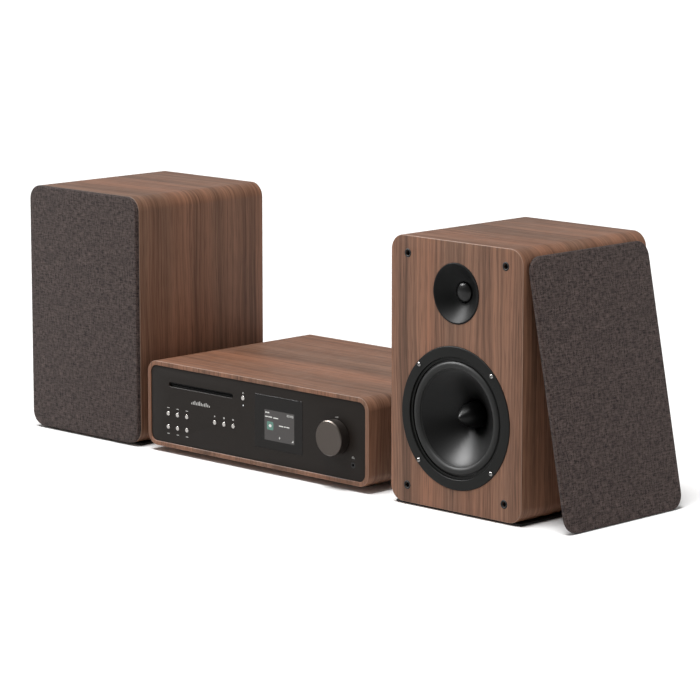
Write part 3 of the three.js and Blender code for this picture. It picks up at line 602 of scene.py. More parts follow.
finishes = {
    "walnut": walnutFinish(),
    "cloth": clothFinish(),
    "anthracite": plainFinish("anthracitePaint", (0.0150, 0.0112, 0.0090), 0.46, fleck=0.08, depth=0.006,
                              dust=0.01, shine=0.12),
    "blackPlastic": plainFinish("blackPlastic", (0.010, 0.010, 0.010), 0.5, depth=0.02, fine=1400,
                                shine=0.35),
    "paneGloss": plainFinish("paneGloss", (0.0050, 0.0036, 0.0028), 0.12, fleck=0.04, depth=0.0006,
                             spread=0.02, shine=0.17),
    "rubber": plainFinish("blackRubber", (0.010, 0.010, 0.010), 0.62, depth=0.02, fine=1200, shine=0.3),
    "roll": plainFinish("rollRubber", (0.0170, 0.0172, 0.0168), 0.5, fleck=0.06, depth=0.005, fine=1600,
                        shine=0.2),
    "flange": plainFinish("flangePaint", (0.0085, 0.0088, 0.0082), 0.44, fleck=0.1, depth=0.012, fine=1500,
                          shine=0.12),
    "waveguide": plainFinish("waveguideSatin", (0.0052, 0.0054, 0.0054), 0.46, fleck=0.06, depth=0.004,
                             shine=0.10),
    "coneGloss": plainFinish("coneGloss", (0.0010, 0.0010, 0.0010), 0.40, fleck=0.05, depth=0.001,
                             spread=0.02, shine=0.20),
    "domeGloss": plainFinish("domeGloss", (0.002, 0.002, 0.002), 0.3, fleck=0.05, depth=0.0006, spread=0.02,
                             shine=0.32),
    "knob": plainFinish("knobSatin", (0.076, 0.064, 0.056), 0.34, metal=0.85, fleck=0.05, depth=0.003,
                        fine=2400),
    "button": plainFinish("buttonSilver", (0.44, 0.42, 0.40), 0.27, metal=0.9, fleck=0.03, depth=0.002,
                          fine=2600),
    "chrome": plainFinish("brightScrew", (0.24, 0.235, 0.23), 0.2, metal=1.0, fleck=0.03, depth=0.001,
                          spread=0.04),
    "zinc": plainFinish("zincSheet", (0.42, 0.43, 0.42), 0.38, metal=0.9, fleck=0.12, depth=0.006, fine=500,
                        slow=30.0),
    "iron": plainFinish("magnetIron", (0.045, 0.044, 0.043), 0.6, fleck=0.2, depth=0.03, fine=900),
    "fibre": plainFinish("stainedFibre", (0.022, 0.019, 0.017), 0.75, fleck=0.25, depth=0.03, fine=900),
    "board": plainFinish("circuitBoard", (0.018, 0.075, 0.035), 0.4, fleck=0.15, depth=0.02, fine=700),
    "print": plainFinish("palePrint", (0.52, 0.51, 0.49), 0.5, fleck=0.05),
    "redRing": plainFinish("redPlastic", (0.30, 0.012, 0.010), 0.4, fleck=0.05),
    "felt": plainFinish("slotFelt", (0.004, 0.004, 0.004), 0.95, fleck=0.3, depth=0.06, fine=1100),
    "screenBack": glowFinish("screenBack", (0.020, 0.017, 0.0158), 0.9),
    "screenWhite": glowFinish("screenWhite", (0.44, 0.44, 0.42), 0.75),
    "screenGreen": glowFinish("screenGreen", (0.045, 0.115, 0.090), 0.9),
    "lightPipe": glowFinish("lightPipe", (0.85, 0.88, 0.90), 0.5),
}
print("finishes ready")


# Repeated small things, grown on points by node trees

def newTree(name, lengths):
    tree = bpy.data.node_groups.new(name, "GeometryNodeTree")
    tree.interface.new_socket("Points", in_out="INPUT", socket_type="NodeSocketGeometry")
    for label, value in lengths.items():
        made = tree.interface.new_socket(label, in_out="INPUT", socket_type="NodeSocketFloat")
        made.default_value = value
    tree.interface.new_socket("Turn", in_out="INPUT", socket_type="NodeSocketVector")
    tree.interface.new_socket("Finish", in_out="INPUT", socket_type="NodeSocketMaterial")
    tree.interface.new_socket("Pieces", in_out="OUTPUT", socket_type="NodeSocketGeometry")
    return tree, tree.nodes.new("NodeGroupInput"), tree.nodes.new("NodeGroupOutput")


def node(tree, kind, links=(), **values):
    made = tree.nodes.new(kind)
    for label, value in values.items():
        setattr(made, label, value)
    for label, value in links:
        if isinstance(value, bpy.types.NodeSocket):
            tree.links.new(value, made.inputs[label])
        else:
            made.inputs[label].default_value = value
    return made


# Sets the shape on every point, turned the same way, and ends the tree.
def scatter(tree, start, end, shape):
    turn = node(tree, "FunctionNodeEulerToRotation", [(0, start.outputs["Turn"])])
    spread = node(tree, "GeometryNodeInstanceOnPoints", [
        ("Points", start.outputs["Points"]), ("Instance", shape), ("Rotation", turn.outputs[0]),
    ])
    real = node(tree, "GeometryNodeRealizeInstances", [("Geometry", spread.outputs[0])])
    skin = node(tree, "GeometryNodeSetMaterial",
                [("Geometry", real.outputs[0]), ("Material", start.outputs["Finish"])])
    tree.links.new(skin.outputs[0], end.inputs[0])
    return tree


# Pan-head screws with a six-sided socket.
def screwTree():
    tree, start, end = newTree("screwSet",
                               {"Head Radius": 0.0024, "Head Height": 0.0012, "Socket Radius": 0.001})
    ball = node(tree, "GeometryNodeMeshUVSphere",
                [("Segments", 28), ("Rings", 14), ("Radius", start.outputs["Head Radius"])])
    flat = node(tree, "ShaderNodeMath",
                [(0, start.outputs["Head Height"]), (1, start.outputs["Head Radius"])], operation="DIVIDE")
    scale = node(tree, "ShaderNodeCombineXYZ", [("X", 1.0), ("Y", 1.0), ("Z", flat.outputs[0])])
    head = node(tree, "GeometryNodeTransform", [("Geometry", ball.outputs[0]), ("Scale", scale.outputs[0])])
    hexagon = node(tree, "GeometryNodeMeshCylinder", [
        ("Vertices", 6), ("Radius", start.outputs["Socket Radius"]),
        ("Depth", start.outputs["Head Height"]),
    ])
    lift = node(tree, "ShaderNodeCombineXYZ", [("Z", start.outputs["Head Height"])])
    raised = node(tree, "GeometryNodeTransform",
                  [("Geometry", hexagon.outputs[0]), ("Translation", lift.outputs[0])])
    drive = node(tree, "GeometryNodeMeshBoolean",
                 [("Mesh 1", head.outputs[0]), ("Mesh 2", raised.outputs[0])], operation="DIFFERENCE")
    return scatter(tree, start, end, drive.outputs["Mesh"])


# Round beads: rubber rings in holes and metal collars on sockets.
def ringTree():
    tree, start, end = newTree("ringSet", {"Ring Radius": 0.0035, "Bead Radius": 0.0007})
    path = node(tree, "GeometryNodeCurvePrimitiveCircle",
                [("Resolution", 32), ("Radius", start.outputs["Ring Radius"])])
    bead = node(tree, "GeometryNodeCurvePrimitiveCircle",
                [("Resolution", 10), ("Radius", start.outputs["Bead Radius"])])
    ring = node(tree, "GeometryNodeCurveToMesh",
                [("Curve", path.outputs[0]), ("Profile Curve", bead.outputs[0])])
    return scatter(tree, start, end, ring.outputs[0])


# Pressed louvres: long low half-rounds.
def louvreTree():
    tree, start, end = newTree("louvreSet", {"Length": 0.026, "Rise": 0.0014})
    ball = node(tree, "GeometryNodeMeshUVSphere", [("Segments", 24), ("Rings", 12), ("Radius", 1.0)])
    half = node(tree, "ShaderNodeMath", [(0, start.outputs["Length"]), (1, 0.5)], operation="MULTIPLY")
    scale = node(tree, "ShaderNodeCombineXYZ",
                 [("X", start.outputs["Rise"]), ("Y", half.outputs[0]), ("Z", start.outputs["Rise"])])
    louvre = node(tree, "GeometryNodeTransform",
                  [("Geometry", ball.outputs[0]), ("Scale", scale.outputs[0])])
    return scatter(tree, start, end, louvre.outputs[0])


trees = {"screws": screwTree(), "rings": ringTree(), "louvres": louvreTree()}
towardFront = (math.pi / 2, 0.0, 0.0)
towardBack = (-math.pi / 2, 0.0, 0.0)


# Grows a tree on points, as one plain mesh on the root body.
def grown(name, label, points, finish, slot, place, **values):
    piece = meshObject(name, points, [], mm)
    put(piece, place)
    tree = trees[label]
    bit = piece.modifiers.new("grow", "NODES")
    bit.node_group = tree
    wanted = {key.replace("_", " "): value for key, value in values.items()}
    for item in tree.interface.items_tree:
        if item.in_out == "INPUT" and item.name in wanted:
            bit[item.identifier] = wanted[item.name]
        elif item.in_out == "INPUT" and item.name == "Finish":
            bit[item.identifier] = finishes[finish]
    settled(piece)
    shade(piece, 40)
    return finished(piece, finishes[finish], "root")


# Shades a piece, puts it in its place, and gives it its finish, nodes and body.
def fitted(piece, angle, place, finish, nodes=(), body="root"):
    shade(piece, angle)
    put(piece, place)
    return finished(piece, finishes[finish], body, nodes)


# Loudspeakers; room is the gap left round a fitted piece.

speaker = {
    "width": 218, "height": 336, "depth": 230, "cornerRadius": 20, "wall": 15, "baffle": 18, "edge": 1.0,
    "room": 0.3, "pegSide": 28, "pegEnd": 22, "socketRadius": 3.3, "socketDepth": 12,
    "linerBore": 3.06, "grommet": 4.35, "grommetBead": 1.1, "grommetSeat": 1.8,
}
woofer = {
    "height": 117, "flange": 89.5, "flangeInner": 76.5, "proud": 1.0, "flangeBack": 2.7, "bodyRadius": 75.5,
    "screwCircle": 85.3, "screwRadius": 2.9, "screwHeight": 1.8, "rollMiddle": 66, "rollHalf": 5,
    "rollHeight": 4.2, "rollBase": 3.3,
    "rubber": 1.1, "rollOuter": 72.6, "coneRadius": 60, "coneSet": 4, "coneDepth": 34, "coneBend": 1.12,
    "former": 18.6, "formerEnd": 72, "plugRadius": 16.5, "plugTip": 6, "plugShoulder": 34, "plugEnd": 77.6,
    "magnetRadius": 45, "magnetFront": 66.3, "magnetBack": 92.3, "coilHole": 20.5,
}
tweeter = {
    "height": 272, "flange": 37.7, "proud": 0.6, "mouth": 35.9, "throat": 13.6, "throatDepth": 15,
    "bend": 1.4, "seat": 3.0,
    "bowlRadius": 34, "bowlBack": 20, "canRadius": 28, "canBack": 40, "dome": 13.1, "rise": 5.5,
}
port = {"height": 262, "bore": 22, "wall": 3, "length": 70, "flare": 2.5, "flareLength": 12}
terminal = {
    "height": 74, "width": 76, "tall": 52, "depth": 26, "corner": 8, "wall": 3, "post": 5, "spacing": 19,
    "bore": 2.2, "set": 4, "screwOut": 4, "screwRadius": 2.6, "screwHeight": 1.0, "screwSocket": 1.0,
}
middle = speaker["width"] / 2


# Outline rings of a slab whose front and back edges are rounded.
def edgeRings(outlineAt, front, back, edge, steps=4):
    turns = np.radians(np.linspace(0, 90, steps + 1))
    opening = [(edge * (1 - math.sin(a)), front + edge * (1 - math.cos(a))) for a in turns]
    closing = [(inset, back - (y - front)) for inset, y in reversed(opening)]
    return [(outlineAt(inset), y) for inset, y in opening + closing]


# Lays the veneer: its length runs up the fronts and round the sides, top and bottom.
def grainMap(piece, outline, seed):
    mesh = piece.data
    layer = mesh.uv_layers.new(name="grain")
    ring = np.array(outline + outline[:1]) * mm
    step = np.diff(ring, axis=0)
    length = np.linalg.norm(step, axis=1)
    start = np.concatenate([[0], np.cumsum(length)])
    around = start[-1]
    points = np.array([v.co for v in mesh.vertices])
    flat = points[:, None, [0, 2]]
    share = np.clip(((flat - ring[None, :-1]) * step).sum(2) / np.maximum(length ** 2, 1e-12), 0, 1)
    gap = np.linalg.norm(flat - (ring[None, :-1] + share[..., None] * step), axis=2)
    nearest, near = gap.argmin(1), gap.min(1)
    rows = np.arange(len(points))
    along = start[nearest] + share[rows, nearest] * length[nearest]
    for face in mesh.polygons:
        endGrain = abs(face.normal.y) > 0.7
        first = along[face.vertices[0]]
        for loop in face.loop_indices:
            v = mesh.loops[loop].vertex_index
            if endGrain:
                u, across = points[v, 2], points[v, 0] + 0.4
            else:
                u = along[v]
                u += around * round((first - u) / around)
                across = points[v, 1]
            layer.data[loop].uv = (u + 1.37 * seed, across + 0.71 * seed)
    # Marks the faces of the rounded front edge, where the walnut finish lays its painted highlight.
    paintedEdgeHighlight = mesh.attributes.new("paintedEdgeHighlight", "FLOAT", "FACE")
    for face in mesh.polygons:
        rounded = 0.08 < -face.normal.y < 0.97 and face.center.y < 1.2 * mm
        paintedEdgeHighlight.data[face.index].value = 1.0 if rounded and near[face.vertices[0]] < 1.2 * mm else 0.0


# One stepped hole: a seat for the flange with a broken front edge, then the neck behind it.
def stepCutter(x, z, seat, depth, neck, back, ease=0.25, sides=96):
    return turned("bore", x, z, [(0, -2), (seat + ease, -2), (seat + ease, 0), (seat, ease), (seat, depth),
                                 (neck, depth), (neck, back), (0, back)], sides)


def plainCutter(x, z, radius, front, back, sides=72):
    return turned("bore", x, z, [(0, front), (radius, front), (radius, back), (0, back)], sides)


def pegPlaces():
    w, h, a, b = speaker["width"], speaker["height"], speaker["pegSide"], speaker["pegEnd"]
    return [(a, b), (w - a, b), (a, h - b), (w - a, h - b)]


def terminalOutline(inset):
    flat = roundedOutline(terminal["width"], terminal["tall"], terminal["corner"], inset, 8)
    x0, z0 = middle - terminal["width"] / 2, terminal["height"] - terminal["tall"] / 2
    return [(x + x0, z + z0) for x, z in flat]


def makeCabinet(side, place, seed):
    s = speaker
    outlineAt = lambda inset: roundedOutline(s["width"], s["height"], s["cornerRadius"], inset)
    body = loft(f"{side}_cabinet_wood", edgeRings(outlineAt, 0, s["depth"], s["edge"]))
    cutters = [
        slab("hollow", outlineAt(s["wall"]), s["baffle"], s["depth"] - s["wall"]),
        stepCutter(middle, woofer["height"], woofer["flange"] + s["room"], woofer["flangeBack"] + s["room"],
                   woofer["bodyRadius"] + s["room"], s["baffle"] + 1, sides=128),
        stepCutter(middle, tweeter["height"], tweeter["flange"] + s["room"], tweeter["seat"],
                   tweeter["bowlRadius"] + s["room"], s["baffle"] + 1),
        plainCutter(middle, port["height"], port["bore"] + port["wall"] + s["room"],
                    s["depth"] - 2 * s["wall"], s["depth"] + 1, 96),
        slab("cupHole", terminalOutline(-0.3), s["depth"] - 2 * s["wall"], s["depth"] + 1),
    ]
    cutters += [stepCutter(x, z, s["grommet"] + s["grommetBead"] + 0.05, s["grommetSeat"],
                           s["socketRadius"], s["socketDepth"], 0.15, 32) for x, z in pegPlaces()]
    carved(body, cutters)
    grainMap(body, outlineAt(0), seed)
    fitted(body, 30, place, "walnut", [f"{side}_cabinet", f"{side}_baffle"])
    seats = [(x, s["grommetBead"] - 0.45, z) for x, z in pegPlaces()]
    grown(f"{side}_grille_sockets", "rings", seats, "rubber", "black_rubber", place,
          Ring_Radius=s["grommet"] * mm,
                  Bead_Radius=s["grommetBead"] * mm, Turn=towardFront)
    outer, inner, deep = s["socketRadius"] - 0.02, s["linerBore"], s["socketDepth"] - 0.05
    liners = joined(f"{side}_socket_liners", [
        turned("liner", x, z, [(0, deep - 0.4), (inner, deep - 0.4), (inner, s["grommetSeat"]),
                               (outer, s["grommetSeat"]), (outer, deep), (0, deep)], 28)
        for x, z in pegPlaces()])
    fitted(liners, 35, place, "rubber")


def makeWoofer(side, place):
    w = woofer
    x, z = middle, w["height"]
    basket = turned(f"{side}_woofer_frame", x, z, [
        (w["flangeInner"] + 0.3, -w["proud"]), *arcPoints(w["flange"] - 0.9, -0.1, 0.9, -90, 0, 6),
        (w["flange"], w["flangeBack"]), (w["bodyRadius"], w["flangeBack"]), (w["bodyRadius"], 18), (48, 60),
        (48, 66),
        (w["coilHole"], 66), (w["coilHole"], 63), (45, 63), (45, 60), (68, 18), (68, 4.8), (73, 4.8),
        (73, 1.25), (w["flangeInner"] - 0.9, 1.2), (w["flangeInner"] - 0.9, 1.9), (w["flangeInner"], 1.9),
        (w["flangeInner"], -w["proud"] + 0.3),
    ], 144)
    beams = [[(x - a, z - b), (x + a, z - b), (x + a, z + b), (x - a, z + b)]
             for a, b in ((77, 19), (19, 77))]
    carved(basket, [slab("window", beam, 26, 54) for beam in beams])
    fitted(basket, 32, place, "flange", [f"{side}_woofer_basket"])

    base, top = w["rollBase"], w["rollHeight"]
    outer = [(w["rollMiddle"] + w["rollHalf"] * math.cos(a), base - top * math.sin(a))
             for a in np.linspace(0, math.pi, 25)]
    inner = [(w["rollMiddle"] + (w["rollHalf"] - w["rubber"]) * math.cos(a),
              base + w["rubber"] - top * math.sin(a))
             for a in np.linspace(math.pi, 0, 25)]
    roll = turned(f"{side}_woofer_roll", x, z, [
        (w["rollOuter"], base), (w["rollMiddle"] + w["rollHalf"] + 0.5, base), *outer,
        (w["coneRadius"] + 0.3, base + 0.4),
        (w["coneRadius"] + 0.3, base + w["rubber"]), *inner, (w["rollOuter"], base + w["rubber"]),
    ], 144)
    shade(roll, 50)
    put(roll, place)
    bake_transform(roll, "root", f"{side}_cone", start=place @ Vector((0, 0, 0)),
             end=place @ Vector((0.01, 0, 0)))
    weights = roll.data.attributes["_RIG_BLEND"].data
    hub = place @ Vector((x * mm, 0, z * mm))
    for v in roll.data.vertices:
        reach = math.hypot(v.co.x - hub.x, v.co.z - hub.z) / mm
        t = min(max((w["rollMiddle"] + w["rollHalf"] - reach) / (2 * w["rollHalf"]), 0), 1)
        weights[v.index].value = t * t * (3 - 2 * t)
    roll.data.materials.clear()
    roll.data.materials.append(finishes["roll"])
    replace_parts(roll, f"{side}_woofer_surround")

    run = np.linspace(0, 1, 25)
    flare = [(w["coneRadius"] + (w["former"] - w["coneRadius"]) * t,
              w["coneSet"] + w["coneDepth"] * t ** w["coneBend"]) for t in run]
    back = [(r + 0.25, y + 0.8) for r, y in reversed(flare)]
    cone = turned(f"{side}_woofer_cone_skin", x, z, [
        *flare, (w["former"] - 0.2, w["formerEnd"]), (w["former"] + 0.4, w["formerEnd"]), *back[:-1],
        (w["coneRadius"] - 0.05, w["coneSet"] + 0.7),
    ], 144)
    fitted(cone, 40, place, "coneGloss", [f"{side}_woofer_cone"], body=f"{side}_cone")

    ogive = [(w["plugRadius"] * math.sin(math.pi / 2 * t ** 0.86),
              w["plugTip"] + (w["plugShoulder"] - w["plugTip"]) * t) for t in run]
    plug = turned(f"{side}_phase_plug", x, z, [*ogive, (w["plugRadius"], w["plugEnd"]), (0, w["plugEnd"])],
                  96)
    fitted(plug, 40, place, "coneGloss", [f"{side}_woofer_motor"])
    hole, reach = w["coilHole"], w["magnetRadius"]
    magnet = turned(f"{side}_woofer_magnet", x, z, [
        (0, 78), (hole, 78), (hole, w["magnetFront"]), (reach - 3, w["magnetFront"]), (reach - 3, 71),
        (reach - 0.6, 71), (reach, 71.6), (reach, 86.4), (reach - 0.6, 87), (reach - 4, 87),
        (reach - 4, w["magnetBack"]), (0, w["magnetBack"]),
    ], 96)
    fitted(magnet, 35, place, "iron")
    ring = [math.radians(45 + 90 * i) for i in range(4)]
    heads = [(x + w["screwCircle"] * math.cos(a), -w["proud"], z + w["screwCircle"] * math.sin(a))
             for a in ring]
    grown(f"{side}_woofer_screws", "screws", heads, "chrome", "chrome", place,
          Head_Radius=w["screwRadius"] * mm,
                   Head_Height=w["screwHeight"] * mm, Socket_Radius=1.1 * mm, Turn=towardFront)


def makeTweeter(side, place):
    t = tweeter
    x, z = middle, t["height"]
    bowl = [(t["throat"] + (t["mouth"] - t["throat"]) * s,
             -t["proud"] + (t["throatDepth"] + t["proud"]) * (1 - s ** t["bend"]))
            for s in np.linspace(0, 1, 25)]
    face = turned(f"{side}_tweeter_face", x, z, [
        (0, 21), (t["throat"], 21), (t["throat"], t["throatDepth"] + 0.6), *bowl,
        *arcPoints(t["flange"] - 0.7, 0.1, 0.7, -90, 0, 5),
        (t["flange"], 2.7), (t["bowlRadius"], 2.7), (t["bowlRadius"], t["bowlBack"]),
        (t["canRadius"], t["bowlBack"]),
        (t["canRadius"], t["canBack"] - 1), (t["canRadius"] - 1, t["canBack"]), (0, t["canBack"]),
    ], 128)
    fitted(face, 35, place, "waveguide", [f"{side}_tweeter"])
    run = np.linspace(0, math.pi / 2, 17)
    cap = [(t["dome"] * math.sin(a), t["throatDepth"] + 0.4 - (t["rise"] + 0.4) * math.cos(a)) for a in run]
    under = [((t["dome"] - 0.9) * math.sin(a), t["throatDepth"] + 1.3 - (t["rise"] + 0.4) * math.cos(a))
             for a in run[::-1]]
    dome = turned(f"{side}_tweeter_cap", x, z,
                  [*cap, (t["dome"], t["throatDepth"] + 3), (t["dome"] - 0.9, t["throatDepth"] + 3),
                   *under], 96)
    fitted(dome, 40, place, "domeGloss", [f"{side}_tweeter_dome"], body=f"{side}_dome")


def makeSpeakerBack(side, place):
    back = speaker["depth"]
    p, t = port, terminal
    mouth = [(p["bore"] + p["flare"] * s * s, back - p["flareLength"] * (1 - s))
             for s in np.linspace(0, 1, 9)]
    tube = turned(f"{side}_port_tube_trim", middle, p["height"], [
        (p["bore"] + p["wall"], back - p["length"]), (p["bore"], back - p["length"]), *mouth,
        (p["bore"] + p["flare"] + 0.2, back + 0.1), (p["bore"] + p["wall"] - 0.1, back + 0.1),
        (p["bore"] + p["wall"], back),
    ], 96)
    fitted(tube, 35, place, "blackPlastic", [f"{side}_port_tube"])
    floor = back - t["depth"] + t["wall"]
    cup = loft(f"{side}_terminal_recess", edgeRings(terminalOutline, back - t["depth"], back, 0.5, 3))
    carved(cup, [slab("recess", terminalOutline(t["wall"]), floor, back + 1)])
    fitted(cup, 30, place, "blackPlastic", [f"{side}_terminal_cup"])
    places = [(middle - t["spacing"] / 2, "redRing"), (middle + t["spacing"] / 2, "blackPlastic")]
    for (x, colour), label in zip(places, ("red", "black")):
        end, r = back - t["set"], t["post"]
        post = turned(f"{side}_{label}_socket", x, t["height"], [
            (0, floor + 1), (t["bore"], floor + 1), (t["bore"], end - 0.5), (t["bore"] + 0.4, end),
            (r - 0.6, end), (r, end - 0.6),
            (r, end - 3), (r - 0.5, end - 3.2), (r - 0.5, end - 4.4), (r, end - 4.6), (r, floor - 0.05),
            (0, floor - 0.05),
        ], 48)
        fitted(post, 35, place, colour)
    corners = [(middle + a * (t["width"] / 2 + t["screwOut"]), back, t["height"]) for a in (-1, 1)]
    grown(f"{side}_back_screws", "screws", corners, "blackPlastic", "black_plastic", place,
          Head_Radius=t["screwRadius"] * mm,
                   Head_Height=t["screwHeight"] * mm, Socket_Radius=t["screwSocket"] * mm, Turn=towardBack)


# Grilles, in their own places: x across, z up, y from the cloth's front to the pegs.
grille = {
    "thickness": 6, "edge": 2.4, "cloth": 0.8, "lip": 10, "wooferOpening": 91, "tweeterOpening": 45,
    "lean": 11.1, "peg": 3, "pegLength": 4, "sheetDepth": 1.0,
}


def leaningPlace():
    low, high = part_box("right_grille_cloth")
    lean = math.radians(grille["lean"])
    c, s = math.cos(lean), math.sin(lean)
    return Matrix(((0, -c, -s, high.x), (1, 0, 0, low.y), (0, -s, c, low.z + grille["sheetDepth"] * mm * s),
                   (0, 0, 0, 1)))


def makeGrille(side, place):
    g, s = grille, speaker
    outlineAt = lambda inset: roundedOutline(s["width"], s["height"], s["cornerRadius"], inset, 16)
    turns = np.radians(np.linspace(0, 90, 7))
    edge, skin, deep = g["edge"], g["cloth"], g["thickness"]
    outer = [(edge * (1 - math.sin(a)), edge * (1 - math.cos(a))) for a in turns]
    inner = [(skin + (edge - skin) * (1 - math.sin(a)), skin + (edge - skin) * (1 - math.cos(a)))
             for a in turns]
    profile = [*outer, (0, deep - 0.3), (0.15, deep + 0.15), (0.8, deep + 0.4), (g["lip"], deep + 0.4),
               (g["lip"], deep + 0.05), (skin + 0.3, deep + 0.05), (skin, deep - 0.3), *reversed(inner)]
    sheet = loft(f"{side}_grille_fabric", [(outlineAt(inset), y) for inset, y in profile])
    layer = sheet.data.uv_layers.new(name="thread")
    for face in sheet.data.polygons:
        n = face.normal
        for loop in face.loop_indices:
            co = sheet.data.vertices[sheet.data.loops[loop].vertex_index].co
            layer.data[loop].uv = (co.x + n.x * co.y + 0.5, co.z + n.z * co.y + 0.5)
    fitted(sheet, 50, place, "cloth", [f"{side}_grille_cloth"], body=f"{side}_grille")

    board = loft(f"{side}_grille_board",
                 edgeRings(lambda inset: outlineAt(inset + skin + 0.15), skin + 0.1, deep, 0.5, 3))
    carved(board, [
        turned("opening", middle, woofer["height"],
               [(0, -1), (g["wooferOpening"], -1), (g["wooferOpening"], 3.4),
                                                      (g["wooferOpening"] + 1.6, 5),
                (g["wooferOpening"] + 1.6, 8), (0, 8)], 128),
        turned("opening", middle, tweeter["height"],
               [(0, -1), (g["tweeterOpening"], -1), (g["tweeterOpening"], 3.4),
                                                       (g["tweeterOpening"] + 1.6, 5),
                (g["tweeterOpening"] + 1.6, 8), (0, 8)], 96),
    ])
    pegs = []
    for x, z in pegPlaces():
        r, end = g["peg"], deep + g["pegLength"]
        pegs.append(turned("peg", x, z,
                           [(0, deep - 1), (r + 1.5, deep - 1), (r + 1.5, deep + 0.3), (r, deep + 0.3),
                                         (r, end - 1.2), *arcPoints(r - 1.2, end - 1.2, 1.2, 0, 90, 4),
                            (0, end)], 28))
    pegSet = joined(f"{side}_grille_pegs", pegs)
    for piece, mat, slotName, nodes in (
        (board, "fibre", "grille_board", [f"{side}_grille_frame"]),
        (pegSet, "blackPlastic", "black_plastic", []),
    ):
        fitted(piece, 30, place, mat, nodes, body=f"{side}_grille")


def makeSpeakers():
    for seed, side in enumerate(sides):
        place = Matrix.Translation(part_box(f"{side}_baffle")[0])
        makeCabinet(side, place, seed + 1)
        makeWoofer(side, place)
        makeTweeter(side, place)
        makeSpeakerBack(side, place)
        print(side, "speaker ready")
    makeGrille("left", Matrix.Translation(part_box("left_grille_cloth")[0]))
    makeGrille("right", leaningPlace())
    print("grilles ready")


# CD receiver, in its own place: x across and z up from the case's lower left front corner,
# and y back from its front.
receiver = {"width": 414, "height": 115, "depth": 293, "corner": 17, "wall": 6, "edge": 0.8, "gap": 0.15}
fascia = {"front": 1, "back": 5, "edge": 0.25}
slotSize = {"left": 41, "height": 86, "wide": 124, "tall": 6, "round": 2.9, "lip": 0.35}
knob = {
    "x": 357, "z": 59, "radius": 23, "front": -15, "chamfer": 1.2, "back": -0.4, "shaft": 3,
    "dish": 0.25,
}
button = {"radius": 3, "front": 0.2, "back": 8, "edge": 0.5, "ring": 3.5}
lamp = {"x": 184.5, "z": 76.3, "radius": 1.0}
window = {"left": 206.5, "bottom": 25.5, "wide": 88.5, "tall": 70, "corner": 1.2, "front": 0.75,
          "back": 3.2}
screen = {"left": 225, "right": 280, "bottom": 37, "top": 77, "lift": 0.06}
jack = {"x": 386, "z": 26.2, "radius": 4, "bore": 1.8}
foot = {"radius": 14, "height": 8, "pad": 2.2, "round": 1.4}
rear = {
    "left": 326, "rows": 3, "columns": 9, "pitch": 7.2, "rise": 25, "low": 23, "length": 20,
    "louvreRise": 1.3,
    "sockets": 190, "collar": 3.3, "bead": 0.6, "screwsAcross": (14, 150, 262, 400), "screwsUp": (13, 102),
    "screwRadius": 2.8, "screwHeight": 1.3, "screwSocket": 1.1,
}
printed = {"front": 0.985, "depth": 0.12}


def bar(x, z, wide, tall):
    return [(x, z), (x + wide, z), (x + wide, z + tall), (x, z + tall)]


def centreOf(label, origin):
    low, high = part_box(label)
    return [((low[i] + high[i]) / 2 - origin[i]) / mm for i in range(3)]


def reachOf(label, origin):
    low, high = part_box(label)
    return (low.y - origin.y) / mm, (high.y - origin.y) / mm


def makeCase(place):
    r = receiver
    outlineAt = lambda inset: roundedOutline(r["width"], r["height"], r["corner"], inset)
    sleeve = loft("receiver_sleeve", edgeRings(outlineAt, 0, r["depth"], r["edge"]))
    inner = [(outlineAt(r["wall"] - 0.4), -1), (outlineAt(r["wall"] - 0.4), 0), (outlineAt(r["wall"]), 0.4),
             (outlineAt(r["wall"]), r["depth"] - 0.4), (outlineAt(r["wall"] - 0.4), r["depth"]),
             (outlineAt(r["wall"] - 0.4), r["depth"] + 1)]
    carved(sleeve, [loft("inside", inner)])
    grainMap(sleeve, outlineAt(0), 3.4)
    fitted(sleeve, 30, place, "walnut", ["case_sleeve"])

    f = fascia
    plate = loft("receiver_front_plate",
                 edgeRings(lambda inset: outlineAt(r["wall"] + r["gap"] + inset), f["front"], f["back"],
                           f["edge"], 2))
    s, w = slotSize, window
    hole = lambda inset: [(x + s["left"], z + s["height"] - s["tall"] / 2)
                          for x, z in roundedOutline(s["wide"], s["tall"], s["round"], inset, 6)]
    pane = lambda inset: [(x + w["left"], z + w["bottom"])
                          for x, z in roundedOutline(w["wide"], w["tall"], w["corner"], inset, 5)]
    lip = s["lip"]
    cutters = [
        loft("slot", [(hole(-lip), 0), (hole(-lip), f["front"]), (hole(0), f["front"] + lip),
                      (hole(0), f["back"] + 1)]),
        slab("window", pane(-0.12), 0, f["back"] + 1),
        plainCutter(knob["x"], knob["z"], knob["shaft"] + 0.7, 0, f["back"] + 1, 40),
        plainCutter(lamp["x"], lamp["z"], lamp["radius"] + 0.1, 0, f["back"] + 1, 24),
        plainCutter(jack["x"], jack["z"], jack["radius"] + 0.12, 0, f["back"] + 1, 40),
    ]
    for x, z in buttonPlaces.values():
        cutters.append(turned("hole", x, z, [(0, 0), (button["ring"], 0), (button["ring"], f["front"]),
                               (button["radius"] + 0.2, f["front"] + 0.3),
                                             (button["radius"] + 0.2, f["back"] + 1), (0, f["back"] + 1)],
                              36))
    carved(plate, cutters)
    fitted(plate, 30, place, "anthracite", ["fascia"])
    curtain = slab("slot_curtain", hole(-0.6), f["back"] + 0.1, f["back"] + 0.6)
    slit = slab("slit", bar(s["left"] + 1, s["height"] - 0.5, s["wide"] - 2, 1.0), 0, 9)
    carved(curtain, [slit])
    put(curtain, place)
    finished(curtain, finishes["felt"], "root")
    glass = loft("window_pane", [(pane(0.08), w["front"]), (pane(0), w["front"] + 0.08),
                                 (pane(0), w["back"])])
    fitted(glass, 25, place, "paneGloss", ["display_window"])


# Bars that make each figure of the clock.
figures = {"0": "abcdef", "2": "abged", "3": "abgcd", "5": "afgcd"}


